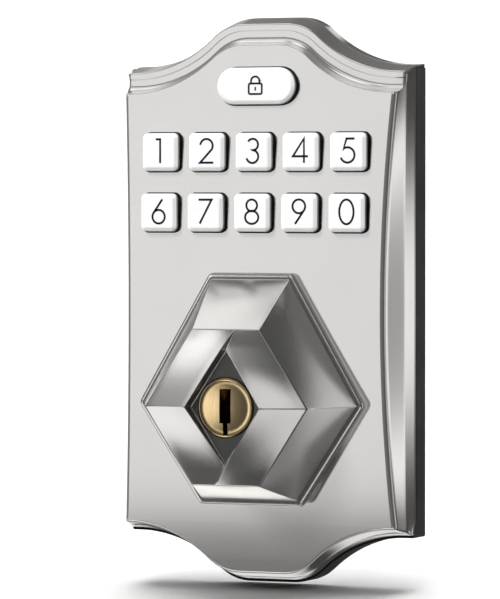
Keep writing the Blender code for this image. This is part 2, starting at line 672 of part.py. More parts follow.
# ---- outside turn -------------------------------------------------------------------
RIM_CORNERS = [(10.7, 31.4), (-10.7, 31.4), (-29.3, 0.2), (-13.2, -23.9), (13.2, -23.9), (29.3, 0.2)]
TOP_CORNERS = [(8.7, 18.4), (-8.7, 18.4), (-20.9, 0.0), (-8.7, -18.4), (8.7, -18.4), (20.9, 0.0)]
RIDGE_START = (2.5, 18.4)
RIDGE_BEND = (-0.7, 13.5, 35.6)
STEP_FOOT = (0.1, 13.6, 34.4)
POCKET_SIDE = 9.5
CORNER_STEPS = 2


def turn_mesh():
    """Six-sided tower: a rounded rim, six flanks, and a top split in a half-turn pinwheel."""
    bm = bmesh.new()

    def shrink(amount):
        return [Vector(c) - Vector(c).normalized() * amount for c in RIM_CORNERS]

    def ring(amount, depth, radius):
        outline = rounded_polygon(shrink(amount), radius, CORNER_STEPS)
        return [bm.verts.new(at(x, depth, z)) for x, z in outline]

    rings = [ring(0.4, TURN_BACK, 1.5), ring(0.0, TURN_BACK + 0.4, 1.7),
             ring(0.0, RIM_TOP - 0.5, 1.7), ring(0.5, RIM_TOP, 1.4), ring(1.0, RIM_TOP, 1.2)]
    count = len(rings[0])
    for low, high in zip(rings, rings[1:]):
        for i in range(count):
            j = (i + 1) % count
            bm.faces.new((low[i], low[j], high[j], high[i]))
    bm.faces.new(rings[0])

    top = [bm.verts.new(at(x, FACET_TOP, z)) for x, z in TOP_CORNERS]
    ridge = [bm.verts.new(at(s * RIDGE_START[0], FACET_TOP, s * RIDGE_START[1])) for s in (1, -1)]
    peak = [bm.verts.new(at(-s * POCKET_SIDE, CREST_EDGE, 0.0)) for s in (1, -1)]
    bend = [bm.verts.new(at(s * RIDGE_BEND[0], RIDGE_BEND[2], s * RIDGE_BEND[1])) for s in (1, -1)]
    foot = [bm.verts.new(at(s * STEP_FOOT[0], STEP_FOOT[2], s * STEP_FOOT[1])) for s in (1, -1)]
    floor_side = [bm.verts.new(at(-s * (POCKET_SIDE - 0.2), POCKET_FLOOR, 0.0)) for s in (1, -1)]
    floor_end = [bm.verts.new(at(s * 0.1, POCKET_FLOOR, s * 13.4)) for s in (1, -1)]

    rim = rings[-1]
    corner = CORNER_STEPS + 1
    for c in range(6):
        for k in range(CORNER_STEPS):
            i = c * corner + k
            bm.faces.new((rim[i], rim[i + 1], top[c]))
        last = c * corner + CORNER_STEPS
        nxt = ((c + 1) % 6) * corner
        bridge = {0: ridge[0], 3: ridge[1]}.get(c)
        if bridge is None:
            bm.faces.new((rim[last], rim[nxt], top[(c + 1) % 6], top[c]))
        else:
            bm.faces.new((rim[last], rim[nxt], top[(c + 1) % 6], bridge, top[c]))

    for s in (0, 1):
        o = 1 - s
        upper, outer, lower = top[1 + 3 * s], top[2 + 3 * s], top[(3 + 3 * s) % 6]
        bm.faces.new((upper, outer, peak[s]))
        bm.faces.new((upper, peak[s], bend[s]))
        bm.faces.new((upper, bend[s], ridge[s]))
        bm.faces.new((outer, lower, peak[s]))
        bm.faces.new((lower, foot[o], peak[s]))
        bm.faces.new((lower, ridge[o], foot[o]))
        bm.faces.new((ridge[s], bend[s], foot[s]))
        bm.faces.new((foot[s], bend[s], floor_end[s]))
        bm.faces.new((bend[s], peak[s], floor_side[s], floor_end[s]))
        bm.faces.new((peak[s], foot[o], floor_end[o], floor_side[s]))
    bm.faces.new((floor_side[0], floor_end[0], floor_side[1], floor_end[1]))
    return bm


def make_turn(pivot, mat, ring_mat, bush_mat, spring_mat):
    turn = add_object("outside_turn", turn_mesh(), mat, (0.0, 0.0, 0.0), pivot)
    join(turn, "cut_collar", disc(COLLAR_RADIUS, COLLAR_BACK, TURN_BACK + 1.6))
    cut(turn, "cut_bore", disc(TURN_BORE, COLLAR_BACK - 2.0, BARREL_FRONT + GAP))
    cut(turn, "cut_nose_hole", disc(PLUG_HEAD_RADIUS + 0.25, BARREL_FRONT, 40.0))
    cut(turn, "cut_bush_recess", tube(COLLAR_RADIUS, SEAT_RADIUS + 0.4, 16.0, SEAT_FRONT + 1.2))
    cut(turn, "cut_ring_groove", tube(17.2, 20.0, 11.1, 12.5))
    cut(turn, "cut_pin_bore", upright(disc(1.5, 10.0, 20.0, 12), 0.0, CLUTCH_DEPTH, 0.0))

    ring = add_object("turn_retaining_ring", tube(17.5, 21.0, 11.4, 12.2), ring_mat,
                      (0.0, 11.4, 0.0), pivot)
    cut(ring, "cut_snap_gap", box(-3.0, 3.0, 10.0, 13.0, -22.0, -10.0))
    bush = tube(19.1, 21.8, SEAT_FRONT + GAP, SEAT_FRONT + 0.9)
    add_object("turn_bush", bush, bush_mat, (0.0, SEAT_FRONT, 0.0))
    spring = coil(20.3, 0.2, 2.0, 10.0, 11.0, 24, 4)
    add_object("turn_return_spring", spring, spring_mat, (0.0, 10.0, 0.0))


# ---- clutch -------------------------------------------------------------------------
def make_clutch(pivot, steel_mat, plastic_mat, motor_mat):
    """A motor screw drives the shoe down on the radial pin, which locks the turn to the hub."""
    pin_out = SHOE_INNER - GAP
    pin = upright(turned([(0.0, 15.2), (0.8, 15.2), (1.2, 15.7), (1.2, pin_out - 0.4),
                          (0.8, pin_out), (0.0, pin_out)], 12), 0.0, CLUTCH_DEPTH, 0.0)
    add_object("clutch_pin", pin, steel_mat, (0.0, CLUTCH_DEPTH, 15.2), pivot)

    shoe = add_object("clutch_shoe", sector(SHOE_INNER, SHOE_OUTER, 55, 125, SHOE_BACK, SHOE_FRONT),
                      plastic_mat, (0.0, MOTOR_DEPTH, SHOE_OUTER))
    join(shoe, "cut_shoe_web", box(-3.0, 3.0, SHOE_BACK + 0.2, SHOE_FRONT - 0.2, SHOE_INNER + 0.8, 25.0))
    join(shoe, "cut_shoe_nut", box(-3.4, 3.4, SHOE_BACK, 11.8, SHOE_OUTER + 0.6, 28.6))
    cut(shoe, "cut_shoe_bore", upright(disc(1.5, 24.4, 30.0, 12), 0.0, MOTOR_DEPTH, 0.0))
    screw = upright(turned([(0.0, 24.6), (0.9, 24.6), (1.2, 25.0), (1.2, MOTOR_LOW - GAP),
                            (0.0, MOTOR_LOW - GAP)], 12), 0.0, MOTOR_DEPTH, 0.0)
    add_object("clutch_screw", screw, steel_mat, (0.0, MOTOR_DEPTH, 25.0))

    profile = [(0.0, MOTOR_LOW), (MOTOR_RADIUS, MOTOR_LOW), (MOTOR_RADIUS, MOTOR_HIGH - 1.0),
               (1.5, MOTOR_HIGH - 1.0), (1.5, MOTOR_HIGH), (0.0, MOTOR_HIGH)]
    motor = upright(turned(profile, 20), 0.0, MOTOR_DEPTH, 0.0)
    add_object("clutch_motor", motor, motor_mat, (0.0, MOTOR_DEPTH, MOTOR_LOW))
    cradle_back = PLATE_BACK + PLATE_THICK + GAP
    cradle = add_object("motor_cradle",
                        box(-4.4, 4.4, cradle_back, MOTOR_DEPTH, MOTOR_LOW + 1.0, MOTOR_HIGH - 1.6),
                        plastic_mat)
    groove = upright(disc(MOTOR_RADIUS + GAP, 25.0, 45.0, 20), 0.0, MOTOR_DEPTH, 0.0)
    cut(cradle, "cut_cradle_groove", groove)


# ---- assembly -----------------------------------------------------------------------
def clear_scene():
    for obj in list(bpy.data.objects):
        bpy.data.objects.remove(obj, do_unlink=True)


def main():
    clear_scene()
    nickel = material("satin_nickel", (0.62, 0.60, 0.57), 0.30, 1.0)
    brass = material("brass", (0.72, 0.55, 0.30), 0.32, 1.0)
    steel = material("zinc_plated_steel", (0.60, 0.61, 0.63), 0.35, 1.0)
    spring = material("spring_steel", (0.45, 0.46, 0.48), 0.30, 1.0)
    zinc = material("cast_zinc", (0.50, 0.50, 0.50), 0.45, 1.0)
    rubber = material("black_rubber", (0.03, 0.03, 0.03), 0.75, 0.0)
    white = material("white_plastic", (0.88, 0.88, 0.87), 0.35, 0.0)
    silicone = material("grey_silicone", (0.45, 0.46, 0.47), 0.60, 0.0)
    board = material("circuit_board", (0.03, 0.20, 0.08), 0.45, 0.0)
    black = material("black_plastic", (0.03, 0.03, 0.03), 0.45, 0.0)
    nylon = material("natural_nylon", (0.80, 0.78, 0.70), 0.50, 0.0)

    turn_pivot = add_pivot("turn_pivot", TURN_BACK)
    plug_pivot = add_pivot("plug_pivot", BARREL_BACK)

    make_escutcheon(nickel)
    make_gasket(rubber)
    make_chassis(steel, steel)
    make_posts(steel)
    make_keypad(white, silicone, board, black, steel)
    make_cylinder(zinc, brass, spring)
    make_plug(plug_pivot, brass, steel)
    make_drive(plug_pivot, zinc, steel)
    make_turn(turn_pivot, nickel, spring, nylon, spring)
    make_clutch(turn_pivot, steel, nylon, steel)


main()
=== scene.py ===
"""Looks of a keypad deadbolt's outside unit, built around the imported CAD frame.

Frame: X right and Z up as seen from outside, +Y into the door, origin on the cylinder axis at
the door's face. Depths are measured outwards from the door face, so depth d lies at y = -d.
Sizes are in millimetres and become metres when a mesh is made.
"""
import json
import math

import bmesh
import bpy
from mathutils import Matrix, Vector


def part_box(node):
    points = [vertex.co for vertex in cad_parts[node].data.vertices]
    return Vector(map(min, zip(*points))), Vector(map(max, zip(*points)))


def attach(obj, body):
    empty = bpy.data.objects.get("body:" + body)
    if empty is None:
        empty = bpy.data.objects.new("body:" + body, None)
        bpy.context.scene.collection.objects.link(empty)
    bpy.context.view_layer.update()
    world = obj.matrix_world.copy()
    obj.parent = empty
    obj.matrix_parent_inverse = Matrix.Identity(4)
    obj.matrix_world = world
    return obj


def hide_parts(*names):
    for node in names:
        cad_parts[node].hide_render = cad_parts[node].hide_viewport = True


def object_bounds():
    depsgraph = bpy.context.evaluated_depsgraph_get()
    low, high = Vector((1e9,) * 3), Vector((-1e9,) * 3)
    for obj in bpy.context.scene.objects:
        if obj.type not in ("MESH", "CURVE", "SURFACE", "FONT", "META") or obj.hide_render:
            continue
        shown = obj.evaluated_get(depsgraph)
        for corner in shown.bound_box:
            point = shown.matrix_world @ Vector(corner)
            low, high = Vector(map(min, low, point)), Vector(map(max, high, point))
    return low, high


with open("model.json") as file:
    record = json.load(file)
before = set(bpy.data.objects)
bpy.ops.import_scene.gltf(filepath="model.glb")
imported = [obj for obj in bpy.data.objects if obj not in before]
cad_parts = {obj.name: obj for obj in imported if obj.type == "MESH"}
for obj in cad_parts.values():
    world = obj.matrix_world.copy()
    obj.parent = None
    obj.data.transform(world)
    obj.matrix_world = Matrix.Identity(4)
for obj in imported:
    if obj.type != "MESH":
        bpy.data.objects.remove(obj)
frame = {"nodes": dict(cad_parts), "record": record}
CAD_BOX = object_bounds()
NODES = frame["nodes"]
BODY_OF = {n: b for b, names in frame["record"]["behaviour"]["bodies"].items() for n in names}
MM = 0.001

# ---- sizes shared by several pieces (mm) ---------------------------------------------
HALF_WIDTH, TOP_CORNER, BOTTOM_CORNER = 37.0, 80.5, -30.9
FACE_HALF_WIDTH, FACE_WAIST = 35.4, 33.5
FACE_TOP, FACE_BOTTOM = 74.3, -29.1
DOME_RISE, DOME_ANGLE, CROWN_RADIUS = 11.5, math.radians(43.0), 11.7
FLAT_INNER, FLAT_OUTER = 4.5, 5.7
BACK, PLATEAU, CREST, BULGE, WALL = 6.0, 10.9, 17.7, 2.7, 1.8
FACE_MIDDLE = 0.5 * (FACE_TOP + FACE_BOTTOM)
FACE_REACH = 0.5 * (FACE_TOP - FACE_BOTTOM)
KEY_PITCH, KEY_ROWS, KEY_ORDER = 12.2, (60.1, 45.65), ("12345", "67890")
KEY_WIDTH, KEY_HEIGHT, KEY_CORNER, KEY_PROUD = 9.4, 9.1, 1.3, 2.0
LOCK_WIDTH, LOCK_HEIGHT, LOCK_CENTRE = 20.3, 8.8, 75.8
WINDOW_GAP = 0.3
POST_X = 19.8
SMOOTH_ANGLE = 40.0


# ---- mesh helpers --------------------------------------------------------------------
def at(x, depth, z):
    return Vector((x * MM, -depth * MM, z * MM))


def build(name, bm):
    """Turn a bmesh into an object whose mesh stands in the shared frame."""
    bmesh.ops.remove_doubles(bm, verts=bm.verts, dist=2e-7)
    bmesh.ops.dissolve_degenerate(bm, dist=1e-7, edges=bm.edges)
    bmesh.ops.recalc_face_normals(bm, faces=bm.faces)
    mesh = bpy.data.meshes.new(name)
    bm.to_mesh(mesh)
    bm.free()
    mesh.shade_smooth()
    mesh.set_sharp_from_angle(angle=math.radians(SMOOTH_ANGLE))
    obj = bpy.data.objects.new(name, mesh)
    bpy.context.scene.collection.objects.link(obj)
    return obj


def settle(obj, smooth_angle=SMOOTH_ANGLE):
    """Apply an object's modifiers to its mesh and shade it by face area."""
    bpy.context.view_layer.update()
    depsgraph = bpy.context.evaluated_depsgraph_get()
    mesh = bpy.data.meshes.new_from_object(obj.evaluated_get(depsgraph), depsgraph=depsgraph)
    obj.modifiers.clear()
    obj.data = mesh
    mesh.shade_smooth()
    mesh.set_sharp_from_angle(angle=math.radians(smooth_angle))
    weigh = obj.modifiers.new("weighted_normals", "WEIGHTED_NORMAL")
    weigh.mode = "FACE_AREA"
    weigh.weight = 60
    weigh.keep_sharp = True
    return obj


def boolean(obj, tool, operation="DIFFERENCE"):
    modifier = obj.modifiers.new(f"shape_{len(obj.modifiers)}", "BOOLEAN")
    modifier.operation = operation
    modifier.solver = "EXACT"
    modifier.object = tool


def drop(*objects):
    for obj in objects:
        bpy.data.objects.remove(obj, do_unlink=True)


def loft(rings, caps=True, bm=None):
    bm = bm or bmesh.new()
    loops = [[bm.verts.new(at(*p)) for p in ring] for ring in rings]
    for low, high in zip(loops, loops[1:]):
        for i in range(len(low)):
            j = (i + 1) % len(low)
            bm.faces.new((low[i], low[j], high[j], high[i]))
    if caps:
        bm.faces.new(loops[0])
        bm.faces.new(loops[-1])
    return bm


def turned(profile, sides=96, x=0.0, z=0.0, bm=None):
    """Turn a closed profile of (radius, depth) about an axis along Y through (x, z)."""
    bm = bm or bmesh.new()
    columns = []
    for radius, depth in profile:
        if radius == 0.0:
            columns.append([bm.verts.new(at(x, depth, z))] * sides)
        else:
            angles = [2.0 * math.pi * i / sides for i in range(sides)]
            columns.append([bm.verts.new(at(x + radius * math.sin(a), depth, z + radius * math.cos(a)))
                            for a in angles])
    for k in range(len(columns)):
        low, high = columns[k], columns[(k + 1) % len(columns)]
        for i in range(sides):
            j = (i + 1) % sides
            corners = []
            for v in (low[i], low[j], high[j], high[i]):
                if v not in corners:
                    corners.append(v)
            if len(corners) > 2:
                bm.faces.new(corners)
    return bm


def rod(radius, back, front, sides=96, x=0.0, z=0.0, bm=None):
    return turned([(0.0, back), (radius, back), (radius, front), (0.0, front)], sides, x, z, bm)


def rounded_rectangle(width, height, radius, steps=8, x=0.0, z=0.0):
    points = []
    for corner in range(4):
        cx = (width * 0.5 - radius) * (1.0 if corner in (0, 3) else -1.0)
        cz = (height * 0.5 - radius) * (1.0 if corner in (0, 1) else -1.0)
        for k in range(steps + 1):
            a = 0.5 * math.pi * (corner + k / steps)
            points.append((x + cx + radius * math.cos(a), z + cz + radius * math.sin(a)))
    return points


def rounded_polygon(corners, radius):
    steps = 5
    points = []
    for i, corner in enumerate(corners):
        here = Vector(corner)
        back = (Vector(corners[i - 1]) - here).normalized()
        ahead = (Vector(corners[(i + 1) % len(corners)]) - here).normalized()
        half = 0.5 * back.angle(ahead)
        centre = here + (back + ahead).normalized() * (radius / math.sin(half))
        start = here + back * (radius / math.tan(half)) - centre
        stop = here + ahead * (radius / math.tan(half)) - centre
        for k in range(steps + 1):
            arm = (start, stop)[k > 0]
            if 0 < k < steps:
                arm = start.slerp(stop, k / steps).normalized() * radius
            points.append(tuple(centre + arm))
    return points


def prism(outline, back, front, bm=None):
    return loft([[(x, d, z) for x, z in outline] for d in (back, front)], bm=bm)


# ---- materials -----------------------------------------------------------------------
def procedural(name, colour, roughness, metallic=0.0, **sockets):
    """A Principled material with its uniform values set on the shader's own sockets."""
    mat = bpy.data.materials.new(name)
    mat.use_nodes = True
    shader = mat.node_tree.nodes["Principled BSDF"]
    shader.inputs["Base Color"].default_value = (*colour, 1.0)
    shader.inputs["Roughness"].default_value = roughness
    shader.inputs["Metallic"].default_value = metallic
    for socket, value in sockets.items():
        shader.inputs[socket.replace("_", " ")].default_value = value
    return mat


def noise(mat, scale, stretch=(1.0, 1.0, 1.0), detail=3.0):
    """Object-space noise whose features are about 1 / scale metres across."""
    nodes, links = mat.node_tree.nodes, mat.node_tree.links
    coordinates = nodes.new("ShaderNodeTexCoord")
    mapping = nodes.new("ShaderNodeMapping")
    mapping.inputs["Scale"].default_value = [scale * s for s in stretch]
    texture = nodes.new("ShaderNodeTexNoise")
    texture.inputs["Scale"].default_value = 1.0
    texture.inputs["Detail"].default_value = detail
    texture.inputs["Roughness"].default_value = 0.5
    links.new(coordinates.outputs["Object"], mapping.inputs["Vector"])
    links.new(mapping.outputs["Vector"], texture.inputs["Vector"])
    return texture.outputs["Fac"]


# the part of the noise's range that carries its variation
NOISE_LOW, NOISE_HIGH = 0.3, 0.7


def remap(mat, value, low, high):
    node = mat.node_tree.nodes.new("ShaderNodeMapRange")
    node.inputs["From Min"].default_value = NOISE_LOW
    node.inputs["From Max"].default_value = NOISE_HIGH
    node.inputs["To Min"].default_value = low
    node.inputs["To Max"].default_value = high
    mat.node_tree.links.new(value, node.inputs["Value"])
    return node.outputs["Result"]


def vary_colour(mat, value, dark, light):
    nodes, links = mat.node_tree.nodes, mat.node_tree.links
    ramp = nodes.new("ShaderNodeValToRGB")
    ramp.color_ramp.elements[0].position = NOISE_LOW
    ramp.color_ramp.elements[0].color = (*dark, 1.0)
    ramp.color_ramp.elements[1].position = NOISE_HIGH
    ramp.color_ramp.elements[1].color = (*light, 1.0)
    links.new(value, ramp.inputs["Fac"])
    links.new(ramp.outputs["Color"], nodes["Principled BSDF"].inputs["Base Color"])


def vary_roughness(mat, value, low, high):
    shader = mat.node_tree.nodes["Principled BSDF"]
    mat.node_tree.links.new(remap(mat, value, low, high), shader.inputs["Roughness"])


def add_bump(mat, value, strength, distance):
    nodes, links = mat.node_tree.nodes, mat.node_tree.links
    bump = nodes.new("ShaderNodeBump")
    bump.inputs["Strength"].default_value = strength
    bump.inputs["Distance"].default_value = distance
    links.new(value, bump.inputs["Height"])
    links.new(bump.outputs["Normal"], nodes["Principled BSDF"].inputs["Normal"])


def metal(name, dark, light, rough_low, rough_high, grain, stretch, bump=0.05, metallic=1.0):
    mat = procedural(name, light, 0.5 * (rough_low + rough_high), metallic)
    fine = noise(mat, grain, stretch)
    cloud = noise(mat, 60.0, detail=4.0)
    vary_colour(mat, cloud, dark, light)
    vary_roughness(mat, fine, rough_low, rough_high)
    if bump:
        add_bump(mat, fine, bump, 0.00001)
    return mat


def plastic(name, dark, light, rough_low, rough_high, grain, bump, **sockets):
    mat = procedural(name, light, 0.5 * (rough_low + rough_high), 0.0, **sockets)
    fine = noise(mat, grain)
    cloud = noise(mat, 90.0, detail=2.0)
    vary_colour(mat, cloud, dark, light)
    vary_roughness(mat, fine, rough_low, rough_high)
    add_bump(mat, fine, bump, 0.00002)
    return mat


NICKEL = metal("satin_nickel", (0.79, 0.775, 0.76), (0.81, 0.797, 0.782), 0.14, 0.155,
               9000.0, (1.0, 1.0, 0.03), 0.0, 0.86)
TURN_NICKEL = metal("satin_nickel_turn", (0.79, 0.775, 0.76), (0.81, 0.797, 0.782), 0.20, 0.22,
                    9000.0, (1.0, 1.0, 0.03), 0.0, 0.94)
# dark nickel for the turn's pocket floor: painted shade of the recess, not a finish of its own
RECESS_SHADE = metal("recess_nickel", (0.20, 0.20, 0.19), (0.26, 0.255, 0.25), 0.40, 0.48,
               6000.0, (1.0, 1.0, 1.0), 0.1, 0.9)
BRASS = metal("brass_plug", (0.72, 0.54, 0.29), (0.78, 0.60, 0.34), 0.22, 0.26,
              7000.0, (1.0, 1.0, 0.08), 0.0)
ZINC = metal("zinc_plate", (0.60, 0.61, 0.62), (0.72, 0.73, 0.74), 0.28, 0.42, 4000.0, (1.0, 1.0, 0.2))
CAST = metal("cast_zinc", (0.38, 0.38, 0.38), (0.46, 0.46, 0.47), 0.42, 0.55, 5000.0, (1.0, 1.0, 1.0), 0.3)
SPRING = metal("spring_steel", (0.45, 0.46, 0.48), (0.55, 0.56, 0.58), 0.22, 0.30, 8000.0, (1.0, 1.0, 1.0))
RUBBER = plastic("gasket_rubber", (0.006, 0.006, 0.006), (0.010, 0.010, 0.011), 0.70, 0.80, 7000.0, 0.3,
                 Specular_IOR_Level=0.1)
WHITE = plastic("key_white", (0.86, 0.86, 0.86), (0.90, 0.90, 0.90), 0.30, 0.38, 9000.0, 0.05,
                Coat_Weight=0.25)
INK = plastic("digit_ink", (0.008, 0.008, 0.008), (0.014, 0.014, 0.014), 0.40, 0.50, 9000.0, 0.05)
# near black for the key caps' sides: painted shade where the sides stand in shadow, not a colour of the white
# keys
KEY_SIDE_SHADE = plastic("key_side_painted_shade", (0.03, 0.03, 0.03), (0.05, 0.05, 0.05), 0.45, 0.55, 9000.0, 0.05)
SILICONE = plastic("membrane_silicone", (0.38, 0.39, 0.40), (0.45, 0.46, 0.47), 0.5, 0.65, 5000.0, 0.2)
BOARD = plastic("circuit_board", (0.02, 0.14, 0.06), (0.03, 0.20, 0.08), 0.35, 0.45, 3000.0, 0.1)
BLACK = plastic("black_plastic", (0.02, 0.02, 0.02), (0.035, 0.035, 0.035), 0.45, 0.55, 6000.0, 0.3)
NYLON = plastic("natural_nylon", (0.74, 0.72, 0.64), (0.80, 0.78, 0.70), 0.45, 0.55, 4000.0, 0.1)


def finish_piece(obj, finish, body, slot, *replaced):
    obj.data.materials.clear()
    for mat in finish if isinstance(finish, tuple) else (finish,):
        obj.data.materials.append(mat)
    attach(obj, body)
    if replaced:
        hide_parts(*replaced)
    return obj


# ---- escutcheon ----------------------------------------------------------------------
def face_depth(z):
    return CREST - BULGE * ((z - FACE_MIDDLE) / FACE_REACH) ** 2


def face_half_width(z):
    t = min(1.0, abs(z - FACE_MIDDLE) / FACE_REACH)
    return FACE_WAIST + (FACE_HALF_WIDTH - FACE_WAIST) * t * t


def wall_x(depth, z):
    """Half width of the side wall: straight at the back, waisted like the face at the front."""
    share = (depth - BACK) / (face_depth(z) - BACK)
    return HALF_WIDTH + (face_half_width(z) - HALF_WIDTH) * share


CROWN_STEPS, FOOT_STEPS = 14, 16


def dome_curve(flat, reach):
    """(x, rise) from the crown flat's end to the shoulder: crown arc, then foot arc."""
    foot_radius = DOME_RISE / (1.0 - math.cos(DOME_ANGLE)) - CROWN_RADIUS
    points = []
    for k in range(CROWN_STEPS + 1):
        a = DOME_ANGLE * k / CROWN_STEPS
        points.append((flat + CROWN_RADIUS * math.sin(a), DOME_RISE - CROWN_RADIUS * (1.0 - math.cos(a))))
    foot_end = flat + (CROWN_RADIUS + foot_radius) * math.sin(DOME_ANGLE)
    for k in range(1, FOOT_STEPS + 1):
        a = DOME_ANGLE * (1.0 - k / FOOT_STEPS)
        points.append((foot_end - foot_radius * math.sin(a), foot_radius * (1.0 - math.cos(a))))
    scale = reach / foot_end if foot_end > reach else 1.0
    points = [(x * scale, rise) for x, rise in points]
    if scale == 1.0:
        points[-1] = (reach, 0.0)
    return points


CORNER_TURNS = [0.5 * math.pi * k / 4 for k in range(1, 5)]
SIDE_STEPS = 44


def half_outline(width_at, top, bottom, flats, corner, lean=0.0):
    """(part, x, z, drop, turn) down the right-hand side from the top crown to the bottom crown.

    A shoulder's corner turns down in Z, or with lean 1 leans back from the front by drop.
    """
    upper, lower = width_at(top), width_at(bottom)
    points = [("top", x, top + r, 0.0, 0.0) for x, r in dome_curve(flats[0], upper - corner)]
    for a in CORNER_TURNS:
        fall = corner * (1.0 - math.cos(a))
        points.append(("top", upper - corner * (1.0 - math.sin(a)), top - fall * (1.0 - lean), fall * lean,
                       a / CORNER_TURNS[-1]))
    high, low = top - corner * (1.0 - lean), bottom + corner
    for k in [0.12, *range(1, SIDE_STEPS)]:
        z = high + (low - high) * k / SIDE_STEPS
        points.append(("side", width_at(z), z, 0.0, 1.0))
    for a in reversed(CORNER_TURNS):
        points.append(("bottom", lower - corner * (1.0 - math.sin(a)), bottom + corner * (1.0 - math.cos(a)),
                       0.0, a / CORNER_TURNS[-1]))
    points += [("bottom", x, bottom - r, 0.0, 0.0) for x, r in reversed(dome_curve(flats[1], lower - corner))]
    return points


def full_ring(half):
    return half + [(-x, d, z) for x, d, z in reversed(half)]


def wall_bottom(depth):
    share = (depth - BACK) / (CREST - BULGE - BACK)
    return BOTTOM_CORNER + (FACE_BOTTOM - BOTTOM_CORNER) * share


def shell_ring(depth, top_depth, top, flat, inset=0.0, corner=0.35, lean=0.0):
    """A flat ring of the wall; its top part may lie at another depth than its sides."""
    def width_at(z):
        z = min(FACE_TOP, max(FACE_BOTTOM, z))
        return wall_x(min(depth, face_depth(z) - 0.1), z) - inset

    outline = half_outline(width_at, top - inset, wall_bottom(depth) + inset,
                           (flat, FLAT_OUTER - 0.4 * inset), corner, lean)
    rise = {"top": top_depth - depth, "side": 0.0,
            "bottom": BOTTOM_RISE * max(0.0, 1.0 - (depth - BACK) / 3.0)}
    return [(x, depth + rise[part] - drop, z) for part, x, z, drop, _ in outline]


TOP_EDGE, SIDE_EDGE, BOTTOM_EDGE = 0.28, 1.15, 0.62


def face_ring(turn, inset=None):
    """A ring round the arched face's rolled edge: turn 0 lies on the wall, turn 1 on the face."""
    a = 0.5 * math.pi * turn
    half = half_outline(face_half_width, FACE_TOP, FACE_BOTTOM, (FLAT_INNER, FLAT_OUTER), 0.5)
    points = [Vector((x, z)) for _, x, z, _, _ in half]
    ring = []
    for i, (part, x, z, _, corner) in enumerate(half):
        before = points[i - 1] if i else Vector((-points[0].x, points[0].y))
        after = points[i + 1] if i + 1 < len(points) else Vector((-points[-1].x, points[-1].y))
        along = (after - before).normalized()
        end = BOTTOM_EDGE if part == "bottom" else TOP_EDGE
        radius = end + (SIDE_EDGE - end) * corner
        move = radius * (1.0 - math.cos(a)) if inset is None else inset
        here = Vector((x, z)) + Vector((along.y, -along.x)) * move
        ring.append((here.x, face_depth(z) - radius * (1.0 - math.sin(a)), here.y))
    return ring


def cove_ring(low, high, share, top_points):
    """A ring between the plateau and the face: a hollow quarter along the top, straight below."""
    a = 0.5 * math.pi * share
    ring = []
    for i, (p, q) in enumerate(zip(low, high)):
        forward, down = (1.0 - math.cos(a), math.sin(a)) if i < top_points else (share, share)
        ring.append((p[0] + (q[0] - p[0]) * forward, p[1] + (q[1] - p[1]) * forward,
                     p[2] + (q[2] - p[2]) * down))
    return ring


# depth of the top's back edge, height of its corner, lift of the bottom's back edge
HOOD, HOOD_CORNER, BOTTOM_RISE = 0.5, TOP_CORNER + 0.55, 1.5
PLATEAU_EDGE = 0.45


def escutcheon_rings():
    """Back edge, grooved wall, the plateau's rounded edge and fine groove, its cove, the face."""
    top_points = len(dome_curve(FLAT_INNER, FACE_HALF_WIDTH)) + len(CORNER_TURNS)
    outer = [shell_ring(BACK, HOOD, HOOD_CORNER, FLAT_OUTER, 0.22),
             shell_ring(BACK + 0.06, HOOD + 0.06, HOOD_CORNER, FLAT_OUTER, 0.06),
             shell_ring(BACK + 0.22, HOOD + 0.22, HOOD_CORNER, FLAT_OUTER)]
    for k, (depth, fall) in enumerate(((4.1, 0.2), (4.2, 0.75), (4.6, 0.75), (4.7, 0.3))):
        outer.append(shell_ring(BACK + 1.0 + 0.2 * k, depth, HOOD_CORNER - fall, FLAT_OUTER))
    for turn in (0.0, 0.25, 0.5, 0.75, 1.0):
        a = 0.5 * math.pi * turn
        outer.append(shell_ring(BACK + 3.2 + 0.6 * turn, PLATEAU - PLATEAU_EDGE * (1.0 - math.sin(a)),
                                79.35 - PLATEAU_EDGE * (1.0 - math.cos(a)), FLAT_OUTER, 0.0, 0.8, turn))
    for k, (depth, z) in enumerate(((0.0, 77.75), (-0.35, 77.72), (-0.35, 77.54), (0.0, 77.5))):
        outer.append(shell_ring(BACK + 3.9 + 0.1 * k, PLATEAU + depth, z, 5.0, 0.0, 0.8, 1.0))
    low = shell_ring(PLATEAU - 0.5, PLATEAU, 76.3, FLAT_INNER, 0.0, 0.8, 1.0)
    outer.append(low)
    rim = [face_ring(k / 7) for k in range(8)]
    outer += [cove_ring(low, rim[0], share / 7, top_points) for share in range(1, 7)]
    outer += rim
    return outer


def inner_rings():
    ledge = PLATEAU - WALL
    rings = [shell_ring(BACK, HOOD, HOOD_CORNER, FLAT_OUTER - 0.2, 0.55),
             shell_ring(BACK, BACK - 0.1, HOOD_CORNER, FLAT_OUTER - 0.2, 0.6),
             shell_ring(BACK, BACK, TOP_CORNER, FLAT_OUTER - 0.6, WALL),
             shell_ring(ledge, ledge, 79.2, FLAT_OUTER - 0.6, WALL),
             shell_ring(ledge + 0.6, ledge + 0.6, FACE_TOP, FLAT_INNER - 0.6, WALL)]
    rings.append([(x, d - WALL, z) for x, d, z in face_ring(1.0, WALL)])
    return rings


def ladder(bm, loop):
    for i in range(len(loop) // 2 - 1):
        bm.faces.new((loop[i], loop[i + 1], loop[-i - 2], loop[-i - 1]))


def key_places():
    for row, z in enumerate(KEY_ROWS):
        for column, digit in enumerate(KEY_ORDER[row]):
            yield digit, (column - 2) * KEY_PITCH, z


WINDOW_CUT = (9.0, 25.0)


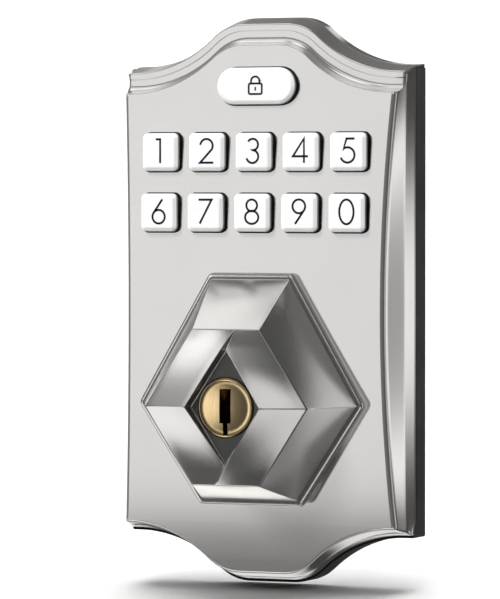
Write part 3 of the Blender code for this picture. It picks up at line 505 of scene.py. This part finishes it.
def make_escutcheon():
    rings = [full_ring(r) for r in reversed(inner_rings())] + [full_ring(r) for r in escutcheon_rings()]
    bm = loft(rings, caps=False)
    bm.verts.ensure_lookup_table()
    count = len(rings[0])
    ladder(bm, bm.verts[:count])
    ladder(bm, bm.verts[-count:])
    shell = build("escutcheon_shell", bm)
    tools = bmesh.new()
    for _, x, z in key_places():
        outline = rounded_rectangle(KEY_WIDTH + 2 * WINDOW_GAP, KEY_HEIGHT + 2 * WINDOW_GAP,
                                    KEY_CORNER + WINDOW_GAP, 8, x, z)
        prism(outline, *WINDOW_CUT, tools)
    outline = rounded_rectangle(LOCK_WIDTH + 2 * WINDOW_GAP, LOCK_HEIGHT + 2 * WINDOW_GAP,
                                0.5 * LOCK_HEIGHT + WINDOW_GAP - 0.01, 20, 0.0, LOCK_CENTRE)
    prism(outline, *WINDOW_CUT, tools)
    windows = build("window_tool", tools)
    seat = build("seat_tool", rod(22.0, 12.5, 17.95))
    bore = build("bore_tool", rod(18.8, 2.0, 28.0))
    boolean(shell, seat, "UNION")
    boolean(shell, windows)
    boolean(shell, bore)
    settle(shell, 32.0)
    drop(windows, seat, bore)
    return finish_piece(shell, NICKEL, "lock_body", "satin_nickel", "escutcheon")


# ---- gasket --------------------------------------------------------------------------
def flat_outline(margin, flat, grow=0.0, corner=1.2, top_fall=0.0):
    half = half_outline(lambda z: HALF_WIDTH - margin, TOP_CORNER - top_fall - margin,
                        BOTTOM_CORNER - grow + margin, (flat - 4.0 * top_fall, flat), corner)
    right = [(p[1], p[2]) for p in half]
    return right + [(-x, z) for x, z in reversed(right)]


GASKET_FRONT, GASKET_FALL, GASKET_GROW = 5.7, 0.15, 0.6


def make_gasket():
    def ring(margin, depth, grow=0.0):
        outline = flat_outline(margin, FLAT_OUTER - 0.5 * margin, grow, 0.5, GASKET_FALL)
        lift = BOTTOM_RISE if depth > 5.0 else 0.0
        return [(x, depth + (lift if z < BOTTOM_CORNER + margin else 0.0), z) for x, z in outline]

    edge = 0.35
    rings = [ring(5.0, 0.0), ring(edge, 0.0, GASKET_GROW), ring(0.1, 0.1, GASKET_GROW),
             ring(0.0, edge, GASKET_GROW), ring(0.0, GASKET_FRONT - edge, GASKET_GROW),
             ring(0.1, 5.6, GASKET_GROW), ring(edge, GASKET_FRONT, GASKET_GROW),
             ring(3.2, GASKET_FRONT), ring(3.2, 1.7), ring(5.0, 1.7), ring(5.0, 0.0)]
    gasket = settle(build("gasket_seal", loft(rings, caps=False)))
    return finish_piece(gasket, RUBBER, "lock_body", "rubber_gasket", "rear_gasket")


# ---- keys ----------------------------------------------------------------------------
def arc(cx, cz, radius, start, stop, steps=28, tall=1.0):
    """Points of an arc, angles in degrees anticlockwise from +X; tall stretches it in Z."""
    angles = [math.radians(start + (stop - start) * k / steps) for k in range(steps + 1)]
    return [(cx + radius * math.cos(a), cz + radius * tall * math.sin(a)) for a in angles]


def digit_strokes(digit):
    """Centre lines of a light geometric digit, one unit tall, centred on x = 0."""
    strokes = {
        "1": [[(-0.20, 0.985), (0.0, 0.985), (0.0, 0.0)]],
        "2": [arc(0.0, 0.71, 0.28, 172, -32) + [(-0.29, 0.015), (0.31, 0.015)]],
        "3": [arc(-0.02, 0.755, 0.235, 150, -90) + arc(-0.04, 0.265, 0.265, 90, -165)],
        "4": [[(0.34, 0.27), (-0.33, 0.27), (0.16, 0.99), (0.16, 0.0)]],
        "5": [[(0.29, 0.985), (-0.06, 0.985), (-0.185, 0.575)] + arc(-0.02, 0.32, 0.31, 118, -160)],
        "6": [[(0.17, 1.0), (-0.235, 0.43)] + arc(0.0, 0.28, 0.28, 148, 508, 44)],
        "7": [[(-0.29, 0.985), (0.30, 0.985), (-0.24, 0.0)]],
        "8": [arc(0.0, 0.755, 0.24, -90, 270, 40), arc(0.0, 0.265, 0.295, 90, 450, 44, 0.9)],
        "9": [[(-0.17, 0.0), (0.235, 0.57)] + arc(0.0, 0.72, 0.28, -32, 328, 44)],
        "0": [arc(0.0, 0.5, 0.315, 90, 450, 52, 0.5 / 0.315)],
    }
    return strokes[digit]


def ribbon(bm, points, half_width, back, front):
    """A flat closed band of ink along a polyline, mitred at its corners."""
    closed = (Vector(points[0]) - Vector(points[-1])).length < 1e-6
    if closed:
        points = points[:-1]
    count = len(points)
    sides = []
    for i, point in enumerate(points):
        here = Vector(point)
        before = Vector(points[i - 1]) if i or closed else None
        after = Vector(points[(i + 1) % count]) if i + 1 < count or closed else None
        incoming = (here - before).normalized() if before is not None else None
        outgoing = (after - here).normalized() if after is not None else None
        incoming = incoming or outgoing
        outgoing = outgoing or incoming
        along = (incoming + outgoing).normalized()
        normal = Vector((-along.y, along.x))
        reach = half_width / max(0.38, normal.dot(Vector((-incoming.y, incoming.x))))
        sides.append((here + normal * reach, here - normal * reach))
    rings = []
    for left, right in sides:
        rings.append([bm.verts.new(at(p.x, d, p.y))
                      for p, d in ((left, back), (left, front), (right, front), (right, back))])
    for i in range(count if closed else count - 1):
        low, high = rings[i], rings[(i + 1) % count]
        for k in range(4):
            m = (k + 1) % 4
            bm.faces.new((low[k], low[m], high[m], high[k]))
    if not closed:
        bm.faces.new(rings[0])
        bm.faces.new(rings[-1])


CAP_RISE = 1.05


def paint_shade_faces(obj, is_second):
    """Give the faces picked by is_second the piece's second material, a painted shade."""
    for face in obj.data.polygons:
        if is_second(face):
            face.material_index = 1


def cap(name, x, z, width, height, corner, steps):
    """A key cap: small edge, shallow bevel, flat front, and a pocket behind for its dome."""
    front = face_depth(z) + KEY_PROUD
    reach = 0.5 * height + 0.8
    flange_front = min(face_depth(z + reach), face_depth(z - reach)) - WALL - 0.3
    profile = [(0.8, 11.4), (0.8, flange_front), (0.0, flange_front), (0.0, front - CAP_RISE),
               (0.0, front - 0.62)]
    edge = 0.28
    for k in range(1, 5):
        a = math.radians(68.0) * k / 4
        profile.append((-edge * (1.0 - math.cos(a)), front - 0.62 + edge * math.sin(a)))
    bevel_in = profile[-1][0]
    profile += [(bevel_in - 0.62, front - 0.07), (bevel_in - 0.78, front - 0.018), (bevel_in - 0.95, front)]
    rings = []
    for grow, depth in profile:
        outline = rounded_rectangle(width + 2 * grow, height + 2 * grow, max(0.3, corner + grow), steps, x, z)
        rings.append([(px, depth, pz) for px, pz in outline])
    piece = build(name, loft(rings))
    pocket = build("pocket_tool", rod(3.0, 10.4, 12.3, 32, x, z))
    boolean(piece, pocket)
    settle(piece, 50.0)
    drop(pocket)
    return piece, front


def paint_key_side_shade(piece, front):
    # The cap's sides behind its bevel take the near-black second material: painted shade.
    limit = (front - CAP_RISE) * MM
    paint_shade_faces(piece, lambda face: -face.center.y < limit and abs(face.normal.y) < 0.5)


def ink_line(bm, points, half_width, front):
    ribbon(bm, points, half_width, front - 0.05, front + 0.012)


def make_keys():
    tall, stroke = 5.8, 0.26
    for digit, x, z in key_places():
        node = f"key_{digit}"
        body = BODY_OF[node]
        piece, front = cap(f"{node}_cap", x, z, KEY_WIDTH, KEY_HEIGHT, KEY_CORNER, 8)
        finish_piece(piece, (WHITE, KEY_SIDE_SHADE), body, "white_keys", node)
        paint_key_side_shade(piece, front)
        ink = bmesh.new()
        for line in digit_strokes(digit):
            points = [(x + 0.1 + px * tall, z + 0.3 + (pz - 0.5) * tall) for px, pz in line]
            ink_line(ink, points, stroke, front)
        finish_piece(build(f"{node}_digit", ink), INK, body, "white_keys")
    piece, front = cap("lock_key_cap", 0.0, LOCK_CENTRE, LOCK_WIDTH, LOCK_HEIGHT,
                       0.5 * LOCK_HEIGHT - 0.01, 20)
    finish_piece(piece, (WHITE, KEY_SIDE_SHADE), "lock_key", "white_keys", "lock_key")
    paint_key_side_shade(piece, front)
    glyph = bmesh.new()
    base = LOCK_CENTRE - 1.9
    outline = rounded_rectangle(3.4, 2.5, 0.4, 5, 0.0, base + 1.25)
    ink_line(glyph, outline + outline[:1], 0.24, front)
    shackle = [(1.1, base + 2.74), (1.1, base + 3.05)] + arc(0.0, base + 3.05, 1.1, 0, 180, 20)
    shackle += [(-1.1, base + 2.74)]
    ink_line(glyph, shackle, 0.24, front)
    ink_line(glyph, [(0.0, base + 0.8), (0.0, base + 1.7)], 0.2, front)
    finish_piece(build("lock_key_glyph", glyph), INK, "lock_key", "white_keys")


# ---- outside turn --------------------------------------------------------------------
FOOT_INSET = 1.55
RIM_CORNERS = [(10.7, 31.4), (-10.7, 31.4), (-29.3, 0.2), (-13.2, -23.9), (13.2, -23.9), (29.3, 0.2)]
HEX_X, HEX_Z, HEX_SIDE = 8.7, 18.4, 20.9
FACET_TOP, PEAK, POCKET, FLOOR = 34.2, 36.45, 9.5, 33.9
RIDGE_X, FOOT_X, FOOT_Z, FOOT_DEPTH = 2.5, 0.1, 13.6, 34.4
TURN_BACK, RIM_TOP = 18.1, 20.0
ROWS = (0.0, 2.2, 4.4, 6.6, 8.8, 11.2, FOOT_Z, 15.2, 16.8, HEX_Z)
FACET_COLUMNS = 6
FLANK_STEPS = 6
FLANK_BULGE = 0.35


def facet_row(z):
    """Points across the top at a height above the cylinder axis, left to right, (x, depth)."""
    t = z / HEX_Z
    left_out, right_out = -HEX_SIDE + (HEX_SIDE - HEX_X) * t, HEX_SIDE - (HEX_SIDE - HEX_X) * t
    ridge_x = -POCKET + (RIDGE_X + POCKET) * t
    ridge_depth = PEAK - (PEAK - FACET_TOP) * t ** 2.4
    if z <= FOOT_Z:
        share = z / FOOT_Z
        edge_x, edge_depth = POCKET + (FOOT_X - POCKET) * share, PEAK + (FOOT_DEPTH - PEAK) * share
        wall_x_here, wall_depth = ridge_x + 0.3 + 0.4 * share, FLOOR
        floor_x = edge_x - 0.3 * (1.0 - share)
    else:
        share = (z - FOOT_Z) / (HEX_Z - FOOT_Z)
        edge_x = FOOT_X + (RIDGE_X - FOOT_X) * share
        edge_depth = FOOT_DEPTH + (FACET_TOP - FOOT_DEPTH) * share
        wall_x_here, wall_depth, floor_x = edge_x, edge_depth, edge_x
    row = []
    for k in range(FACET_COLUMNS + 1):
        s = k / FACET_COLUMNS
        row.append((left_out + (ridge_x - left_out) * s, FACET_TOP + (ridge_depth - FACET_TOP) * s))
    row.append((wall_x_here, wall_depth))
    row.append((floor_x, wall_depth))
    for k in range(FACET_COLUMNS + 1):
        s = k / FACET_COLUMNS
        row.append((edge_x + (right_out - edge_x) * s, edge_depth + (FACET_TOP - edge_depth) * s))
    return row


def turn_rim(inset, depth, radius):
    corners = [Vector(c) - Vector(c).normalized() * inset for c in RIM_CORNERS]
    return [(x, depth, z) for x, z in rounded_polygon(corners, radius)]


def make_turn_body():
    bm = bmesh.new()
    profile = [(0.55, TURN_BACK, 1.3), (0.16, TURN_BACK + 0.14, 1.6), (0.0, TURN_BACK + 0.5, 1.7),
               (0.0, RIM_TOP - 0.75, 1.7), (0.14, RIM_TOP - 0.38, 1.6), (0.42, RIM_TOP - 0.1, 1.4),
               (0.8, RIM_TOP, 1.2), (1.15, RIM_TOP, 1.0)]
    rings = [[bm.verts.new(at(*p)) for p in turn_rim(*step)] for step in profile]
    count = len(rings[0])
    for low, high in zip(rings, rings[1:]):
        for i in range(count):
            j = (i + 1) % count
            bm.faces.new((low[i], low[j], high[j], high[i]))
    bm.faces.new(rings[0])

    rows = [[(x, d, z) for x, d in facet_row(z)] for z in ROWS]
    lower = [[(-x, d, -z) for x, d, z in reversed(row)] for row in rows[1:]]
    grid_points = list(reversed(rows)) + lower
    grid = [[bm.verts.new(at(*p)) for p in row] for row in grid_points]
    for above, below in zip(grid, grid[1:]):
        for k in range(len(above) - 1):
            bm.faces.new((above[k], below[k], below[k + 1], above[k + 1]))

    # The flanks stand on a sharp hexagon set inside the rim's rounded land.
    arc_points = count // 6
    width = len(grid[0])
    middle = len(ROWS) - 1
    last = len(grid) - 1
    sides = [list(reversed(grid[0])),
             [grid[r][0] for r in range(middle + 1)],
             [grid[r][0] for r in range(middle, last + 1)],
             list(grid[last]),
             [grid[r][width - 1] for r in range(last, middle - 1, -1)],
             [grid[r][width - 1] for r in range(middle, -1, -1)]]
    rim = rings[-1]
    feet = [Vector(c) - Vector(c).normalized() * FOOT_INSET for c in RIM_CORNERS]
    feet = [bm.verts.new(at(c.x, RIM_TOP, c.y)) for c in feet]
    for c, edge in enumerate(sides):
        start, stop = feet[c], feet[(c + 1) % 6]
        total = (edge[-1].co - edge[0].co).length
        outward = (stop.co - start.co).cross(edge[0].co - start.co).normalized()
        if outward.dot(start.co + stop.co) < 0.0:
            outward.negate()
        columns = []
        for v in edge:
            s = (v.co - edge[0].co).length / total
            foot = start.co.lerp(stop.co, s)
            column = []
            for k in range(FLANK_STEPS + 1):
                f = k / FLANK_STEPS
                bulge = FLANK_BULGE * MM * 4.0 * f * (1.0 - f)
                column.append(bm.verts.new(foot.lerp(v.co, f) + outward * bulge * 4.0 * s * (1.0 - s)))
            columns.append(column)
        for low, high in zip(columns, columns[1:]):
            for k in range(FLANK_STEPS):
                bm.faces.new((low[k], high[k], high[k + 1], low[k + 1]))
        for i in range(arc_points - 1):
            bm.faces.new((rim[c * arc_points + i], rim[c * arc_points + i + 1], start))
        land = [rim[(c + 1) * arc_points - 1], start] + [column[0] for column in columns[1:-1]]
        bm.faces.new(land + [stop, rim[((c + 1) % 6) * arc_points]])
    bmesh.ops.remove_doubles(bm, verts=bm.verts, dist=2e-6)
    bmesh.ops.dissolve_degenerate(bm, dist=1e-6, edges=bm.edges)
    bmesh.ops.recalc_face_normals(bm, faces=bm.faces)
    weights = bm.edges.layers.float.new("bevel_weight_edge")
    shallow = math.radians(12.0)
    for edge in bm.edges:
        if len(edge.link_faces) != 2 or edge.calc_face_angle(0.0) < shallow:
            continue
        if min(-v.co.y for v in edge.verts) < (RIM_TOP - 0.05) * MM:
            continue
        if max(-v.co.y for v in edge.verts) > (RIM_TOP + 0.05) * MM:
            edge[weights] = 1.0
    return build("turn_body", bm)


def make_turn():
    turn = make_turn_body()
    bevel = turn.modifiers.new("soft_creases", "BEVEL")
    bevel.limit_method = "WEIGHT"
    bevel.width = 0.24 * MM
    bevel.segments = 3
    bevel.use_clamp_overlap = False
    collar = build("collar_tool", turned([(0.0, 5.0), (18.2, 5.0), (18.4, 5.2), (18.4, 19.5), (0.0, 19.5)]))
    bore = build("bore_tool", rod(15.0, 3.0, 32.5))
    nose = build("nose_tool", rod(7.25, 32.2, 40.0, 128))
    recess = build("recess_tool", turned([(18.4, 16.0), (22.4, 16.0), (22.4, 19.2), (18.4, 19.2)]))
    groove = build("groove_tool", turned([(17.2, 11.1), (20.0, 11.1), (20.0, 12.5), (17.2, 12.5)]))
    circle = arc(0.0, 7.5, 1.5, 0, 345, 23)
    pin_hole = build("pin_hole_tool", loft([[(x, depth, z) for x, depth in circle] for z in (10.0, 20.0)]))
    boolean(turn, collar, "UNION")
    for tool in (bore, nose, recess, groove, pin_hole):
        boolean(turn, tool)
    settle(turn, 24.0)
    drop(collar, bore, nose, recess, groove, pin_hole)
    finish_piece(turn, (TURN_NICKEL, RECESS_SHADE), "outside_turn", "satin_nickel", "outside_turn")
    # The pocket floor's faces take the second, dark material: painted shade in the recess.
    paint_shade_faces(turn, lambda face: abs(face.center.y + FLOOR * MM) < 0.02 * MM and abs(face.normal.y) > 0.99)
    return turn


def make_plug():
    profile = [(0.0, 9.0), (4.8, 9.0), (5.0, 9.2), (5.0, 9.9), (6.3, 9.9), (6.3, 32.5), (7.0, 32.5),
               (7.0, 33.95), (6.93, 34.14), (6.74, 34.24), (6.55, 34.25), (6.42, 34.17), (6.3, 34.13)]
    for k in range(1, 8):
        radius = 6.3 * (1.0 - k / 7)
        profile.append((radius, 34.13 + 0.33 * (1.0 - (radius / 6.3) ** 2)))
    plug = build("plug_face", turned(profile, 128))
    tools = []
    for name, side, low, high in (("keyway_tool", 1.45, -3.7, 4.4), ("slit_tool", 0.6, -6.5, -3.2)):
        outline = [(-side, low), (side, low), (side, high), (-side, high)]
        tools.append(build(name, prism(outline, 11.0, 40.0)))
        boolean(plug, tools[-1])
    settle(plug)
    drop(*tools)
    return finish_piece(plug, BRASS, "key_plug", "brass", "key_plug")


# ---- what shows from behind ----------------------------------------------------------
def make_plate():
    plate = build("back_plate", prism(flat_outline(3.6, FLAT_OUTER - 1.5), 2.0, 3.5))
    holes = bmesh.new()
    rod(7.4, 0.0, 6.0, 64, bm=holes)
    for x in (-POST_X, POST_X):
        rod(2.8, 0.0, 6.0, 32, x, 0.0, holes)
    for x in (-29.5, 29.5):
        for z in (-22.5, 72.2):
            rod(1.6, 0.0, 6.0, 24, x, z, holes)
    for a in (238, 302):
        x, z = 11.3 * math.cos(math.radians(a)), 11.3 * math.sin(math.radians(a))
        rod(1.6, 0.0, 6.0, 24, x, z, holes)
    prism(rounded_rectangle(14.0, 6.4, 1.5, 6, 0.0, -22.6), 0.0, 6.0, holes)
    for k in range(4):
        prism(rounded_rectangle(26.0, 2.0, 0.99, 6, 0.0, 24.0 + 13.0 * k), 0.0, 2.35, holes)
    tool = build("hole_tool", holes)
    boolean(plate, tool)
    bevel = plate.modifiers.new("soft_edges", "BEVEL")
    bevel.limit_method = "ANGLE"
    bevel.angle_limit = math.radians(50.0)
    bevel.width = 0.14 * MM
    bevel.segments = 2
    settle(plate)
    drop(tool)
    finish_piece(plate, ZINC, "lock_body", "zinc_plated_steel", "chassis_plate")


def make_screws():
    """Pan heads with a cross recess, in place of the plain slotted stand-ins."""
    for node in [n for n in NODES if "_screw_" in n]:
        low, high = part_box(node)
        x, z = 500.0 * (low.x + high.x), 500.0 * (low.z + high.z)
        back, front = -1000.0 * high.y, -1000.0 * low.y
        head = back + 1.3
        profile = [(0.0, back), (0.9, back + 0.03), (1.6, back + 0.2), (2.05, back + 0.55),
                   (2.1, back + 0.8), (2.1, head), (1.05, head)]
        steps = 14
        for k in range(steps):
            depth = head + (front - head - 0.6) * (k + 0.5) / steps
            profile.append((1.05 if k % 2 else 0.92, depth))
        profile += [(0.9, front - 0.4), (0.3, front), (0.0, front)]
        screw = build(f"{node}_pan", turned(profile, 28, x, z))
        tools = []
        for wide, tall in ((1.1, 0.2), (0.2, 1.1)):
            bar = [(x - wide, z - tall), (x + wide, z - tall), (x + wide, z + tall), (x - wide, z + tall)]
            tools.append(build("cross_tool", prism(bar, back - 0.5, back + 0.75)))
            boolean(screw, tools[-1])
        settle(screw)
        drop(*tools)
        finish_piece(screw, ZINC, BODY_OF[node], "zinc_plated_steel", node)


def make_posts():
    for side, x in (("left", -POST_X), ("right", POST_X)):
        node = f"mounting_post_{side}"
        profile = [(0.0, -2.0)]
        turns = 22
        for k in range(turns):
            profile.append((2.1 if k % 2 else 1.85, -2.4 - 10.8 * k / turns))
        profile += [(2.1, -13.5), (2.4, -14.0), (3.35, -14.0), (3.7, -13.8), (3.8, -13.5), (3.8, 0.6),
                    (3.6, 0.9), (3.6, 1.7), (2.5, 1.7), (2.5, 3.8), (3.4, 3.8), (3.1, 4.3),
                    (2.6, 4.5), (0.0, 4.5)]
        post = settle(build(f"{node}_turned", turned(profile, 48, x, 0.0)))
        finish_piece(post, ZINC, BODY_OF[node], "zinc_plated_steel", node)


def make_tailpiece():
    rings = []
    for depth, width, thick in ((9.6, 3.3, 0.9), (9.3, 3.5, 1.0), (-49.0, 3.5, 1.0),
                                (-50.5, 3.2, 0.9), (-51.6, 2.6, 0.75), (-52.0, 2.3, 0.6)):
        outline = rounded_rectangle(2 * thick, 2 * width, 0.25, 3)
        rings.append([(px, depth, pz) for px, pz in outline])
    blade = build("tail_blade", loft(rings))
    scores = bmesh.new()
    for k in range(7):
        depth = -14.0 - 5.0 * k
        for side in (-1.0, 1.0):
            prism([(side * 0.88, -4.0), (side * 1.2, -4.0), (side * 1.2, 4.0), (side * 0.88, 4.0)],
                  depth - 0.35, depth, scores)
    tool = build("score_tool", scores)
    boolean(blade, tool)
    settle(blade)
    drop(tool)
    finish_piece(blade, ZINC, "key_plug", "zinc_plated_steel", "tailpiece")


def paint_cad_nodes():
    """Pieces inside the lock keep their CAD shape and get a finish."""
    finishes = {"satin_nickel": NICKEL, "rubber_gasket": RUBBER, "zinc_plated_steel": ZINC,
                "spring_steel": SPRING, "cast_zinc": CAST, "brass": BRASS, "white_keys": WHITE,
                "silicone": SILICONE, "circuit_board": BOARD, "black_plastic": BLACK, "nylon": NYLON}
    for part in frame["record"]["subparts"]:
        obj = NODES[part["node"]]
        obj.data.materials.clear()
        obj.data.materials.append(finishes[part["material_slot"]])


# ---- studio --------------------------------------------------------------------------
def lobe(tree, angles, az, el, soft, strength):
    """A soft-edged rectangle of light in the sky, in degrees of azimuth and elevation."""
    nodes, links = tree.nodes, tree.links

    def ramp(value, low, high):
        node = nodes.new("ShaderNodeMapRange")
        node.interpolation_type = "SMOOTHSTEP"
        node.inputs["From Min"].default_value = low
        node.inputs["From Max"].default_value = high
        links.new(value, node.inputs["Value"])
        return node.outputs["Result"]

    product = None
    for value, (low, high) in zip(angles, (az, el)):
        for edge in (ramp(value, low - soft, low + soft), ramp(value, high + soft, high - soft)):
            if product is None:
                product = edge
                continue
            node = nodes.new("ShaderNodeMath")
            node.operation = "MULTIPLY"
            links.new(product, node.inputs[0])
            links.new(edge, node.inputs[1])
            product = node.outputs[0]
    node = nodes.new("ShaderNodeMath")
    node.operation = "MULTIPLY"
    node.inputs[1].default_value = strength
    links.new(product, node.inputs[0])
    return node.outputs[0]


FILL = 0.06
# azimuth from -Y towards +X, elevation, softness (degrees), strength
LOBES = [((-50, -24), (-48, -31), 5, 1.90),
         ((-70, 10), (42, 78), 6, 0.62),
         ((-150, -108), (-6, 22), 7, 1.30),
         ((-175, -130), (-44, -16), 7, 0.90),
         ((-200, -174), (21, 26), 2, 1.40),
         ((174, 200), (21, 26), 2, 1.40),
         ((-170, -158), (3, 10), 3, 1.20),
         ((-135, -70), (53, 71), 6, 1.10),
         ((108, 128), (16, 37), 4, 0.90),
         ((108, 133), (-44, -28), 6, 0.70),
         ((112, 130), (-26, 14), 3, 0.25),
         ((121, 126.5), (-26, 14), 2, 1.15),
         ((97, 104), (-30, 30), 2, 1.30),
         ((-200, 200), (79, 100), 3, 1.20),
         ((-200, 200), (-120, -62), 10, 0.40)]
BACKGROUND = 1.0
# large soft lamps that only the turn sees, one for each facet of its top
TURN_LAMPS = [("upper_left", -35.0, 12.0, 0.15, 21.0),
              ("lower_left", -46.0, -16.0, 0.18, 25.0),
              ("upper_right", -5.0, 20.0, 0.085, 20.0),
              ("lower_right", 0.0, -14.0, 0.062, 16.0)]


def make_world():
    world = bpy.data.worlds.new("studio")
    bpy.context.scene.world = world
    world.use_nodes = True
    tree = world.node_tree
    nodes, links = tree.nodes, tree.links
    nodes.clear()
    coordinates = nodes.new("ShaderNodeTexCoord")
    split = nodes.new("ShaderNodeSeparateXYZ")
    links.new(coordinates.outputs["Generated"], split.inputs[0])

    def math_node(operation, first, second=None):
        node = nodes.new("ShaderNodeMath")
        node.operation = operation
        for k, value in enumerate((first, second)):
            if value is None:
                continue
            if isinstance(value, float):
                node.inputs[k].default_value = value
            else:
                links.new(value, node.inputs[k])
        return node.outputs[0]

    forward = math_node("MULTIPLY", split.outputs["Y"], -1.0)
    azimuth = math_node("DEGREES", math_node("ARCTAN2", split.outputs["X"], forward))
    elevation = math_node("DEGREES", math_node("ARCSINE", split.outputs["Z"]))
    total = None
    for az, el, soft, strength in LOBES:
        value = lobe(tree, (azimuth, elevation), az, el, soft, strength)
        total = value if total is None else math_node("ADD", total, value)
    total = math_node("ADD", total, FILL)
    light = nodes.new("ShaderNodeBackground")
    links.new(total, light.inputs["Strength"])
    light.inputs["Color"].default_value = (1.0, 0.995, 0.985, 1.0)
    plain = nodes.new("ShaderNodeBackground")
    plain.inputs["Color"].default_value = (1.0, 1.0, 1.0, 1.0)
    plain.inputs["Strength"].default_value = BACKGROUND
    path = nodes.new("ShaderNodeLightPath")
    mix = nodes.new("ShaderNodeMixShader")
    links.new(path.outputs["Is Camera Ray"], mix.inputs["Fac"])
    links.new(light.outputs[0], mix.inputs[1])
    links.new(plain.outputs[0], mix.inputs[2])
    output = nodes.new("ShaderNodeOutputWorld")
    links.new(mix.outputs[0], output.inputs["Surface"])


def towards(azimuth, elevation):
    """Unit vector to a place in the studio: degrees from -Y towards +X, and degrees up."""
    a, e = math.radians(azimuth), math.radians(elevation)
    return Vector((math.sin(a) * math.cos(e), -math.cos(a) * math.cos(e), math.sin(e)))


def make_sun(name, azimuth, elevation, strength, spread):
    sun = bpy.data.lights.new(name, "SUN")
    sun.energy = strength
    sun.angle = math.radians(spread)
    obj = bpy.data.objects.new(name, sun)
    bpy.context.scene.collection.objects.link(obj)
    obj.rotation_euler = towards(azimuth, elevation).to_track_quat("Z", "Y").to_euler()
    return obj


def make_softbox(name, azimuth, elevation, distance, width, height, radiance):
    """A rectangular lamp turned towards the lock, given by the radiance of its face."""
    lamp = bpy.data.lights.new(name, "AREA")
    lamp.shape = "RECTANGLE"
    lamp.size, lamp.size_y = width, height
    lamp.energy = radiance * math.pi * width * height
    obj = bpy.data.objects.new(name, lamp)
    bpy.context.scene.collection.objects.link(obj)
    direction = towards(azimuth, elevation)
    obj.location = direction * distance + Vector((0.0, 0.0, 0.025))
    obj.rotation_euler = direction.to_track_quat("Z", "Y").to_euler()
    return obj


def group_of(name, objects):
    group = bpy.data.collections.new(name)
    for obj in objects:
        group.objects.link(obj)
    return group


def light_only(light, objects, blockers=None):
    """Let a lamp shine on these objects alone; blockers, if given, alone cast its shadows."""
    light.light_linking.receiver_collection = group_of(f"{light.name}_receivers", objects)
    if blockers:
        light.light_linking.blocker_collection = group_of(f"{light.name}_blockers", blockers)


FLOOR_TILT = 6.5


def make_stage():
    low, _ = CAD_BOX
    floor_z = 1000.0 * low[2] - 0.7
    bm = bmesh.new()
    reach = 3000.0
    corners = [(-reach, reach), (reach, reach), (reach, -reach), (-reach, -reach)]
    bm.faces.new([bm.verts.new(at(x, d, 0.0)) for x, d in corners])
    floor = build("studio_floor", bm)
    mat = procedural("floor_white", (0.92, 0.92, 0.92), 0.9)
    floor.data.materials.append(mat)
    floor.rotation_euler.x = math.radians(FLOOR_TILT)
    floor.location.z = floor_z * MM
    floor.visible_glossy = False
    floor.visible_diffuse = False
    return floor


def make_camera():
    distance = 1.1554
    target = Vector((-0.00886, 0.0, 0.02455))
    direction = towards(23.98, 1.41)
    data = bpy.data.cameras.new("camera")
    data.lens = 286.9
    data.sensor_width = 36.0
    data.clip_end = 20.0
    camera = bpy.data.objects.new("camera", data)
    bpy.context.scene.collection.objects.link(camera)
    camera.location = target + direction * distance
    camera.rotation_euler = direction.to_track_quat("Z", "Y").to_euler()
    bpy.context.scene.camera = camera


# ---- assembly ------------------------------------------------------------------------
paint_cad_nodes()
shell = make_escutcheon()
gasket = make_gasket()
make_keys()
turn = make_turn()
plug = make_plug()
make_plate()
make_screws()
make_posts()
make_tailpiece()
make_world()
others = [obj for obj in bpy.context.scene.objects if obj.type == "MESH" and obj not in (turn, plug)]
floor = make_stage()
key_light = make_sun("soft_key", -30.0, 40.0, 5.0, 14.0)
key_light.visible_glossy = False
light_only(key_light, others, others)
light_only(make_softbox("face_softbox", -27.0, 3.0, 1.2, 0.46, 0.86, 0.78), [shell], others)
for place, azimuth, elevation, strength, spread in TURN_LAMPS:
    light_only(make_sun(f"turn_{place}", azimuth, elevation, strength, spread), [turn])
light_only(make_sun("plug_light", -33.0, -2.0, 0.13, 17.0), [plug])
behind = [obj for obj in others
          if obj not in (shell, gasket) and not obj.name.startswith(("key_", "lock_"))]
light_only(make_sun("back_light", 150.0, 35.0, 3.0, 60.0), behind)
light_only(make_sun("gasket_light", 84.0, 0.0, 11.0, 12.0), [gasket])
light_only(make_sun("floor_light", 0.0, 90.0, 2.8, 50.0), [floor])
light_only(make_sun("floor_fill", 0.0, 90.0, 1.0, 120.0), [floor])
make_camera()
bpy.context.scene.view_settings.view_transform = "Standard"
